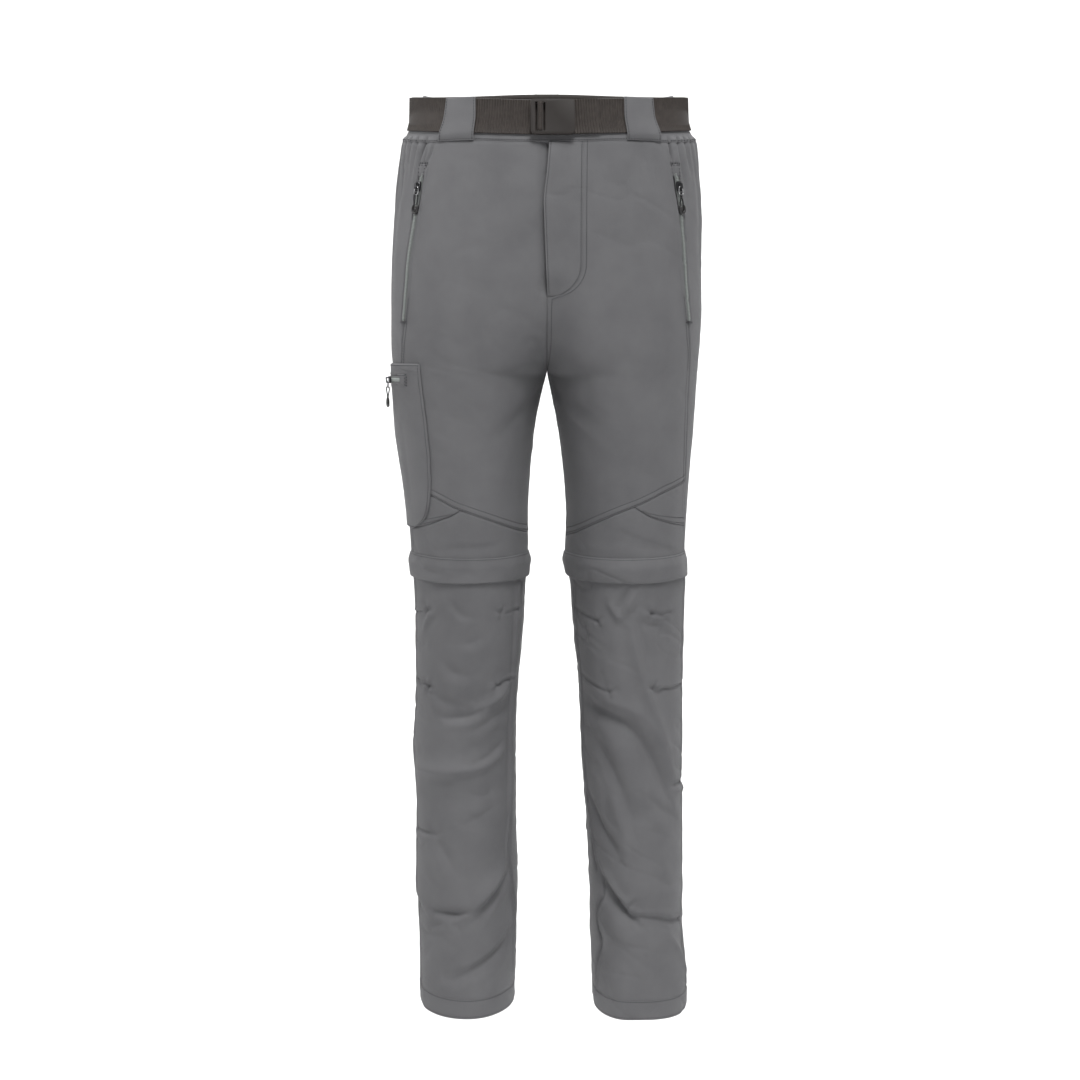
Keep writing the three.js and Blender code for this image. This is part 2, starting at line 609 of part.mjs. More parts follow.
function roundedShape(width, height, radius) {
  const [x, y] = [width / 2, height / 2];
  const shape = new THREE.Shape();
  shape.moveTo(-x + radius, -y).lineTo(x - radius, -y).quadraticCurveTo(x, -y, x, -y + radius);
  shape.lineTo(x, y - radius).quadraticCurveTo(x, y, x - radius, y);
  shape.lineTo(-x + radius, y).quadraticCurveTo(-x, y, -x, y - radius);
  shape.lineTo(-x, -y + radius).quadraticCurveTo(-x, -y, -x + radius, -y);
  return shape;
}

function slot(x, width, height) {
  const path = new THREE.Path();
  path.moveTo(x - width / 2, -height / 2).lineTo(x - width / 2, height / 2);
  path.lineTo(x + width / 2, height / 2).lineTo(x + width / 2, -height / 2);
  return path;
}

// Thigh pocket on the right leg: it wraps the side and stands a little proud, most in its middle.
// Its edges are millimetres in front of and behind the leg's widest point.
const pocketEdges = table(
  'z front back',
  [-306, 103, 99],
  [-368, 101, 101],
  [-432, 92, 97],
  [-460, 84, 92],
  [-476, 75, 85],
  [-486, 60, 74],
  [-491.5, 40, 56],
);
const pocketThick = (where, z) => {
  const middle = fall(Math.abs(where - 0.49), 0.18) * fall(Math.abs(z + 405), 90);
  return 2 + 3.5 * middle;
};

function cargoPocket() {
  add('cargo_pocket', panel({
    leg: 'right',
    rows: [-306, -312, -317, -324, -338, -358, -380, -405, -430, -450, -462, -476, -486, -491.5],
    shares: (z) => spread(
      shareAhead('right', z, follow(pocketEdges, 'z', 'front', z)),
      shareAhead('right', z, -follow(pocketEdges, 'z', 'back', z)),
      evenly(12),
    ),
    place: (where, z) => z,
    inner: onPanel,
    thick: pocketThick,
  }), cloth);
}

// Zips of the hand pockets and the thigh pocket: tape, slider, and the pull that hangs from it
function zips() {
  const tapeWidth = 8;
  const tapeThick = 1.2;
  const tapeOff = 0.5;
  const sliderZ = -112;
  const section = [[-tapeWidth / 2, 0], [-1.6, tapeThick], [1.6, tapeThick], [tapeWidth / 2, 0]];
  const flat = section.map(([x, y]) => new THREE.Vector2(x, y));
  const handTop = -98;
  const handEnd = -258;
  for (const leg of legs) {
    const levels = Array.from({ length: 11 }, (_, i) => mix(handTop, handEnd, i / 10));
    const rings = levels.map((z) => section.map(([x, height]) => (
      skin(leg, sideSeam(leg, z) + share(leg, z, x), z, tapeOff + height))));
    add(`pocket_zip_${leg}`, closedBar(rings, flat, false), zipTape);
    slider({
      name: `pocket_${leg}`, leg, where: sideSeam(leg, sliderZ), z: sliderZ, off: tapeOff + tapeThick + seamGap, wide: 8,
    });
  }
  const cargoZ = -324;
  const [first, last] = [0.4, 0.61];
  const along = Array.from({ length: 9 }, (_, i) => mix(first, last, i / 8));
  const bottomOff = (where) => onPanel + pocketThick(where, cargoZ) + 0.7;
  add('cargo_zip', closedBar(along.map((where) => section.map(([x, height]) => (
    skin('right', where, cargoZ + x, bottomOff(where) + height)))), flat, false), zipTape);
  slider({
    name: 'cargo', leg: 'right', where: 0.45, z: cargoZ, off: bottomOff(0.45) + tapeThick + seamGap, wide: 11,
  });
}

// Slider with a bridge, its ring, the cord loop through the ring and the moulded grip
const pull = {
  plateThick: 2,
  bridgeFoot: 1.4,
  bridgeInside: 2, // half the length of the gap under the bridge
  bridgeTop: 4.2,
  bridgeWidth: 2.4,
  bar: 1.1,
  barY: -1,
  barZ: 3.1,
  ringEnd: -9.8,
  cordRadius: 0.65,
  cordEnd: -20.4,
  gripEnd: -30.5,
};

function slider({ name, leg, where, z, off, wide }) {
  const group = place(new THREE.Group(), leg, where, z, off);
  trousers.add(group);
  const long = wide > 8 ? 8 : 11;
  const plate = new THREE.ExtrudeGeometry(roundedShape(wide, long, 2), {
    depth: pull.plateThick, bevelEnabled: false, curveSegments: 2,
  });
  const { bridgeInside: inside, bridgeFoot: foot, bridgeTop: top } = pull;
  const outer = inside + foot;
  const arch = new THREE.Shape([[-outer, 1], [-inside, 1], [-inside, top], [inside, top], [inside, 1], [outer, 1],
    [outer, top + 0.6], [outer - 0.7, top + 1.2], [0.7 - outer, top + 1.2], [-outer, top + 0.6]]
    .map(([x, y]) => new THREE.Vector2(x, y)));
  const bridge = new THREE.ExtrudeGeometry(arch, { depth: pull.bridgeWidth, bevelEnabled: false });
  bridge.translate(0, 0, -pull.bridgeWidth / 2);
  // the arch is drawn along the zip and upwards, so it is turned to stand on the plate
  bridge.applyMatrix4(new THREE.Matrix4().makeBasis(
    new THREE.Vector3(0, 1, 0), new THREE.Vector3(0, 0, 1), new THREE.Vector3(1, 0, 0)));
  add(`${name}_slider`, joined(plate, bridge), darkMetal, group);

  const ring = new THREE.Shape();
  const topY = pull.barY + pull.bar / 2;
  ring.moveTo(-2.9, topY).lineTo(2.9, topY).quadraticCurveTo(4, -5, 4.2, -7);
  ring.quadraticCurveTo(4, pull.ringEnd, 0, pull.ringEnd).quadraticCurveTo(-4, pull.ringEnd, -4.2, -7);
  ring.quadraticCurveTo(-4, -5, -2.9, topY);
  const hole = new THREE.Path();
  const holeTop = pull.barY - pull.bar / 2;
  hole.moveTo(-1.8, holeTop).quadraticCurveTo(-2.6, -5, -2.8, -6.8).quadraticCurveTo(-2.6, -8.4, 0, -8.4);
  hole.quadraticCurveTo(2.6, -8.4, 2.8, -6.8).quadraticCurveTo(2.6, -5, 1.8, holeTop);
  ring.holes.push(hole);
  const ringGeometry = new THREE.ExtrudeGeometry(ring, { depth: pull.bar, bevelEnabled: false, curveSegments: 4 });
  ringGeometry.translate(0, 0, pull.barZ - pull.bar / 2);
  add(`${name}_ring`, ringGeometry, silverMetal, group);

  // the cord goes up in front of the ring's foot, over it inside the ring, and down behind it
  const route = [[-2.3, pull.cordEnd, 3.1], [-2.5, -17, 3.3], [-2.1, -13.4, 4], [-1.3, -10.6, 4.6],
    [-0.8, -8.9, 4.65], [-0.4, -7.8, 4.25], [0, -7.35, 3.1], [0.4, -7.8, 1.95], [0.8, -8.9, 1.55],
    [1.3, -10.6, 1.6], [2.1, -13.4, 2.2], [2.5, -17, 2.9],
    [2.3, pull.cordEnd, 3.1]].map(([x, y, depth]) => new THREE.Vector3(x, y, depth));
  const disc = new THREE.Shape(Array.from({ length: 8 }, (_, i) => (
    new THREE.Vector2(Math.cos(i * Math.PI / 4), Math.sin(i * Math.PI / 4)).multiplyScalar(pull.cordRadius))));
  add(`${name}_cord`, new THREE.ExtrudeGeometry(disc, {
    steps: 18, extrudePath: new THREE.CatmullRomCurve3(route), curveSegments: 1,
  }), cordColour, group);

  const gripTop = pull.cordEnd - seamGap;
  const gripHeight = gripTop - pull.gripEnd;
  const grip = new THREE.ExtrudeGeometry(roundedShape(9.6, gripHeight, 3), {
    depth: 2, bevelThickness: 0.7, bevelSize: 0.7, bevelOffset: -0.7, bevelSegments: 1, curveSegments: 2,
  });
  grip.translate(0, (gripTop + pull.gripEnd) / 2, pull.barZ - 1);
  add(`${name}_grip`, grip, moulded, group);
}

upperLegs();
knees();
lowerLegs();
waist();
cargoPocket();
zips();

export default trousers;
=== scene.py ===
# Zip-off trousers as worn: fine cloth, seams, stitches, webbing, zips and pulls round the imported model.
import json
import math
import bmesh
import bpy
import numpy as np
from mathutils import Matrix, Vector


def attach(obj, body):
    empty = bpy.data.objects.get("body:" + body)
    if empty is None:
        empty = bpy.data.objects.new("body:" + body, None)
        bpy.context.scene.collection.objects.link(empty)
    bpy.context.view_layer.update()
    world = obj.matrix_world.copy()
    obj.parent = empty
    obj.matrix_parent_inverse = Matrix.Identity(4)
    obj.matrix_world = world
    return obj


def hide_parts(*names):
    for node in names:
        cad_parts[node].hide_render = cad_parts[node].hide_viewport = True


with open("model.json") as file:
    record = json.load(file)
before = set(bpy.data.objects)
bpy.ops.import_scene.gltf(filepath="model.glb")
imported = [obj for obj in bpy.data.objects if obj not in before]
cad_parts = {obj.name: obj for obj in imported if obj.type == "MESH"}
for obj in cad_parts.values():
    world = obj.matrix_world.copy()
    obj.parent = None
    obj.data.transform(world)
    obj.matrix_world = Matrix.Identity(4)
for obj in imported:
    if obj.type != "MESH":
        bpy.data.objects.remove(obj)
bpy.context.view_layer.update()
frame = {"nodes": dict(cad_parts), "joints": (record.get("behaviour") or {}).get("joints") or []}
mm = 0.001
print("stage: frame loaded")

# Half sections of the body in plan, millimetres, the same as the solids: from the centre front or the
# inseam round the side to the back. out and in are from the middle plane, front and back are depths.
body = dict(
    columns="z outRight inRight outLeft inLeft xFront front xBack back "
            "midFront midBack turnFront turnBack side",
    rows=[
        [10, 152, 0, 155.5, 0, 45, 102, 55, 106, -102, 106, 0, 0, 4],
        [0, 153, 0, 156.5, 0, 45, 102, 55, 107, -102, 107, 0, 0, 4],
        [-36, 154, 0, 158, 0, 46, 105, 57, 111, -105, 111, 0, 0, 4],
        [-60, 163, 0, 168, 0, 48, 109, 60, 117, -109, 117, 0, 0, 4],
        [-100, 168, 0, 172, 0, 52, 115, 66, 127, -115, 126, 0, 0, 4],
        [-150, 173, 0, 175, 0, 58, 120, 74, 136, -118, 132, 0.05, 0.05, 5],
        [-200, 177, 0, 175, 0, 64, 122, 80, 140, -117, 131, 0.12, 0.15, 6],
        [-245, 178, 0, 176, 0, 70, 121, 84, 138, -109, 116, 0.28, 0.35, 6],
        [-275, 178, 0, 175, 0, 76, 119, 87, 134, -95, 92, 0.48, 0.55, 5],
        [-295, 177.4, 0, 173.6, 0, 81, 117, 88, 130, -75, 68, 0.7, 0.74, 4],
        [-307, 176.6, 0, 172.6, 0, 84, 115, 89, 127, -50, 44, 0.85, 0.88, 3],
        [-314, 176, 0, 172, 0, 86, 114, 90, 125, -18, 26, 0.96, 0.97, 2],
        [-320, 175.5, 1, 171.5, 0.8, 87, 113, 90, 123, 8, 8, 1, 1, 2],
        [-340, 173.5, 6, 170, 5, 89, 111, 91, 119, 4, 4, 1, 1, 1],
        [-375, 169.5, 13, 167.5, 12, 91, 107, 92, 112, 0, 0, 1, 1, 0],
        [-430, 161.5, 19, 163, 19, 92, 101, 92, 104, -3, -3, 1, 1, -2],
        [-480, 158, 22, 160, 22, 91, 94, 92, 95, -6, -6, 1, 1, -4],
        [-525, 155.5, 22, 158.5, 20.5, 90, 87, 91, 88, -7, -7, 1, 1, -4],
        [-560, 153.5, 25.5, 160, 26.5, 90, 84, 92, 86, -5, -5, 1, 1, -2],
        [-610, 152.5, 28, 158.5, 30, 91, 80, 93, 88, -1, -1, 1, 1, 2],
        [-670, 152.5, 33, 156.5, 36, 92, 75, 94, 91, 4, 4, 1, 1, 6],
        [-740, 155, 36.5, 156.5, 40, 94, 71, 95, 92, 8, 8, 1, 1, 9],
        [-820, 151.5, 36.5, 157, 45, 94, 69, 96, 90, 8, 8, 1, 1, 9],
        [-900, 152.5, 34, 158, 49.5, 94, 69, 96, 86, 7, 7, 1, 1, 8],
        [-970, 149, 36, 160, 51, 92, 71, 97, 81, 4, 4, 1, 1, 5],
        [-1010, 148.5, 37, 163, 52.5, 91, 73, 99, 78, 3, 3, 1, 1, 3],
        [-1060, 148, 38, 163.5, 53.5, 91, 75, 99, 77, 2, 2, 1, 1, 2],
    ],
    crotch=-320,
    top=14,
    bottom=-1068,
    step=2,
    quarterSteps=36,
    shareSteps=420,
    handle=0.5523,  # of a quarter ellipse
    middleGap=0.02,
    middleHold=9,  # how far from the middle the halves are held together
)
cut = dict(
    waistHeight=46,
    waistNominal=-50,
    kneeEdge=-531,
    lowerTop=-540,
    hemNominal=-1045,
    hemHeight=22,
    flyWidth=38,
    flyStraightEnd=-198,
    flyEnd=-234,
    # millimetres that the side seam lies in front of the body's widest point
    sideSeam=[[-40, 88], [-110, 87], [-232, 80], [-304, 66], [-375, 56], [-450, 40], [-531, 22], [-700, 17],
              [-1060, 14]],
    hem=dict(
        right=[[0, -1043], [0.1, -1047.5], [0.25, -1050], [0.42, -1048], [0.5, -1043], [0.75, -1036],
               [1, -1043]],
        left=[[0, -1043], [0.1, -1049], [0.25, -1052], [0.4, -1055], [0.5, -1050], [0.75, -1040], [1, -1043]],
    ),
    kneeSeam=dict(
        right=[[0, -498], [0.08, -494], [0.25, -468], [0.317, -453], [0.44, -438]],
        left=[[0, -502], [0.083, -496], [0.246, -465], [0.338, -446], [0.44, -434]],
    ),
    wedgeSeam=dict(
        right=[[0.25, -468], [0.279, -476], [0.367, -488], [0.44, -492]],
        left=[[0.25, -464.4], [0.29, -476], [0.36, -485], [0.44, -490]],
    ),
    flapDrop=[[0, -547], [0.12, -549], [0.28, -550.5], [0.42, -548], [0.6, -549], [0.8, -550], [1, -547]],
)
sideSign = dict(right=-1, left=1)


def follow(table, x, column=1):
    # the smooth curve through a table's rows that the solids use too
    rows = np.asarray(table, float)
    if rows[0, 0] > rows[-1, 0]:
        rows = rows[::-1]
    xs, ys = rows[:, 0], rows[:, column]
    slope = np.diff(ys) / np.diff(xs)
    pair = slope[:-1] * slope[1:]
    total = np.where(pair > 0, slope[:-1] + slope[1:], 1)
    tangent = np.concatenate([slope[:1], np.where(pair > 0, 2 * pair / total, 0), slope[-1:]])
    x = np.clip(np.asarray(x, float), xs[0], xs[-1])
    i = np.clip(np.searchsorted(xs, x, side="right") - 1, 0, len(xs) - 2)
    span = xs[i + 1] - xs[i]
    t = (x - xs[i]) / span
    return (
        (2 * t**3 - 3 * t**2 + 1) * ys[i]
        + (t**3 - 2 * t**2 + t) * span * tangent[i]
        + (3 * t**2 - 2 * t**3) * ys[i + 1]
        + (t**3 - t**2) * span * tangent[i + 1]
    )


def legSurface(leg):
    # positions, outward normals, girth and the way to the widest point, on a fine grid of heights and shares
    z = np.arange(body["top"], body["bottom"], -body["step"], dtype=float)
    names = body["columns"].split()
    get = {name: follow(body["rows"], z, k) for k, name in enumerate(names) if k}
    side = leg.capitalize()
    out, inner = get["out" + side], get["in" + side]
    midFront = get["midFront"]
    midBack = np.where(z > body["crotch"], get["midBack"], midFront)
    turnFront, turnBack = get["turnFront"] * math.pi / 2, get["turnBack"] * math.pi / 2
    handle = body["handle"]
    xFront, front, xBack, back, mid = (get[k] for k in ("xFront", "front", "xBack", "back", "side"))
    dxFront, dyFront = handle * (xFront - inner), handle * (front + midFront)
    dxBack, dyBack = handle * (xBack - inner), handle * (back - midBack)
    quarters = [
        [(inner, midFront), (inner + dxFront * np.cos(turnFront), midFront - dyFront * np.sin(turnFront)),
         (xFront - dxFront, -front), (xFront, -front)],
        [(xFront, -front), (xFront + handle * (out - xFront), -front), (out, mid - handle * (front + mid)),
         (out, mid)],
        [(out, mid), (out, mid + handle * (back - mid)), (xBack + handle * (out - xBack), back),
         (xBack, back)],
        [(xBack, back), (xBack - dxBack, back),
         (inner + dxBack * np.cos(turnBack), midBack + dyBack * np.sin(turnBack)), (inner, midBack)],
    ]
    t = np.linspace(0, 1, body["quarterSteps"] + 1)
    weights = np.stack([(1 - t) ** 3, 3 * t * (1 - t) ** 2, 3 * t**2 * (1 - t), t**3])
    arcs = []
    for number, quarter in enumerate(quarters):
        points = np.array(quarter).transpose(2, 0, 1)
        arc = np.einsum("zkc,kt->ztc", points, weights)
        arcs.append(arc if number == 0 else arc[:, 1:])
    outline = np.concatenate(arcs, axis=1)
    along = np.concatenate(
        [np.zeros((len(z), 1)), np.cumsum(np.linalg.norm(np.diff(outline, axis=1), axis=2), axis=1)], axis=1
    )
    girth = along[:, -1]
    levels = np.broadcast_to(z[:, None], outline.shape[:2])
    solid = np.stack([outline[..., 0] * sideSign[leg], outline[..., 1], levels], -1)
    facing = np.cross(np.gradient(solid, axis=1), -np.gradient(solid, axis=0)) * sideSign[leg]
    facing /= np.linalg.norm(facing, axis=2, keepdims=True)
    shares = np.linspace(0, 1, body["shareSteps"] + 1)
    grid, normal = np.empty((2, len(z), len(shares), 3))
    for row in range(len(z)):
        for axis in range(3):
            grid[row, :, axis] = np.interp(shares * girth[row], along[row], solid[row, :, axis])
            normal[row, :, axis] = np.interp(shares * girth[row], along[row], facing[row, :, axis])
    normal /= np.linalg.norm(normal, axis=2, keepdims=True)
    return dict(z=z, grid=grid, normal=normal, girth=girth, widest=along[:, 2 * body["quarterSteps"]])


surfaces = {leg: legSurface(leg) for leg in sideSign}
print("stage: body surface ready")


def onGrid(grid, s, z):
    fs = np.clip(np.abs(s), 0, 1) * body["shareSteps"]
    fz = np.clip((body["top"] - z) / body["step"], 0, grid.shape[0] - 1.001)
    i = np.minimum(fs.astype(int), body["shareSteps"] - 1)
    j = fz.astype(int)
    a, b = (fs - i)[..., None], (fz - j)[..., None]
    return (
        grid[j, i] * (1 - a) * (1 - b) + grid[j, i + 1] * a * (1 - b)
        + grid[j + 1, i] * (1 - a) * b + grid[j + 1, i + 1] * a * b
    )


def byHeight(leg, name, z):
    known = surfaces[leg]
    return np.interp(-np.asarray(z, float), -known["z"], known[name])


def girthAt(leg, z):
    return byHeight(leg, "girth", z)


def shareAhead(leg, z, ahead):
    return (byHeight(leg, "widest", z) - ahead) / girthAt(leg, z)


def sideSeam(leg, z):
    return shareAhead(leg, z, follow(cut["sideSeam"], z))


def smooth(t):
    t = np.clip(t, 0, 1)
    return t * t * (3 - 2 * t)


def fall(distance, reach):
    return smooth(1 - distance / reach)


def waistTop(s):
    return -6 - 14 * np.cos(math.pi * s)


def waistTall(s):
    # from the top edge down to the seam, more at the gathered sides
    return cut["waistHeight"] + 4 * smooth((s - 0.22) / 0.08) * (1 - smooth((s - 0.7) / 0.1))


halfGirth = 440  # millimetres of waist from the centre front round to the centre back


def elasticSpan(s):
    # 1 at the sides, where elastic gathers the waist
    return smooth((s - 0.27) / 0.05) * (1 - smooth((s - 0.62) / 0.06))


def upperWarp(s, z):
    return z + (waistTop(s) - waistTall(s) - cut["waistNominal"]) * fall(cut["waistNominal"] - z, 110)


def lowerWarp(leg):
    edge = cut["hem"][leg]
    return lambda s, z: z + (follow(edge, s) - cut["hemNominal"]) * fall(z - cut["hemNominal"], 130)


# Noise with a fixed seed on a lattice that repeats
latticeSize = 24
lattice = np.random.default_rng(4071).uniform(-1, 1, (latticeSize,) * 3)


def softNoise(p, size, shift=0.0):
    q = p / np.asarray(size, float) + shift
    cell = np.floor(q)
    f = smooth(q - cell)
    cell = cell.astype(int) % latticeSize
    after = (cell + 1) % latticeSize
    total = 0
    for corner in range(8):
        take = [after[..., k] if corner >> k & 1 else cell[..., k] for k in range(3)]
        weight = 1
        for k in range(3):
            weight = weight * (f[..., k] if corner >> k & 1 else 1 - f[..., k])
        total = total + lattice[take[0], take[1], take[2]] * weight
    return total


# Large folds that the solids hold too: leg, share and height of both ends, lift
folds = dict(
    reach=14,
    rows=[
        ["right", 0.1, -664, 0.21, -693, 3.5],
        ["right", 0.2, -686, 0.3, -704, -4],
        ["right", 0.41, -770, 0.22, -764, 3],
        ["right", 0.225, -745, 0.13, -730, -3],
        ["right", 0.25, -800, 0.12, -788, -2.5],
        ["right", 0.34, -934, 0.24, -936, -3.5],
        ["right", 0.24, -925, 0.13, -884, 3.5],
        ["right", 0.29, -1000, 0.11, -968, -2.5],
        ["left", 0.11, -694, 0.22, -710, -4],
        ["left", 0.22, -710, 0.36, -795, -5],
        ["left", 0.13, -734, 0.24, -818, -2.5],
        ["left", 0.08, -806, 0.2, -862, -2.5],
        ["left", 0.15, -892, 0.25, -938, -4.5],
        ["left", 0.25, -938, 0.47, -950, -3.5],
        ["left", 0.27, -905, 0.44, -912, 3],
        ["right", 0.62, -575, 0.9, -590, -4],
        ["right", 0.6, -640, 0.86, -625, -3],
        ["right", 0.64, -745, 0.93, -780, -4],
        ["right", 0.6, -865, 0.86, -842, -3.5],
        ["right", 0.66, -948, 0.9, -972, -3.5],
        ["left", 0.62, -585, 0.9, -572, -4],
        ["left", 0.6, -655, 0.85, -668, -3],
        ["left", 0.62, -770, 0.92, -742, -4],
        ["left", 0.62, -868, 0.88, -896, -3.5],
        ["left", 0.64, -962, 0.9, -940, -3.5],
        ["right", 0.62, -330, 0.84, -345, -3],
        ["left", 0.62, -338, 0.84, -326, -3],
    ],
)
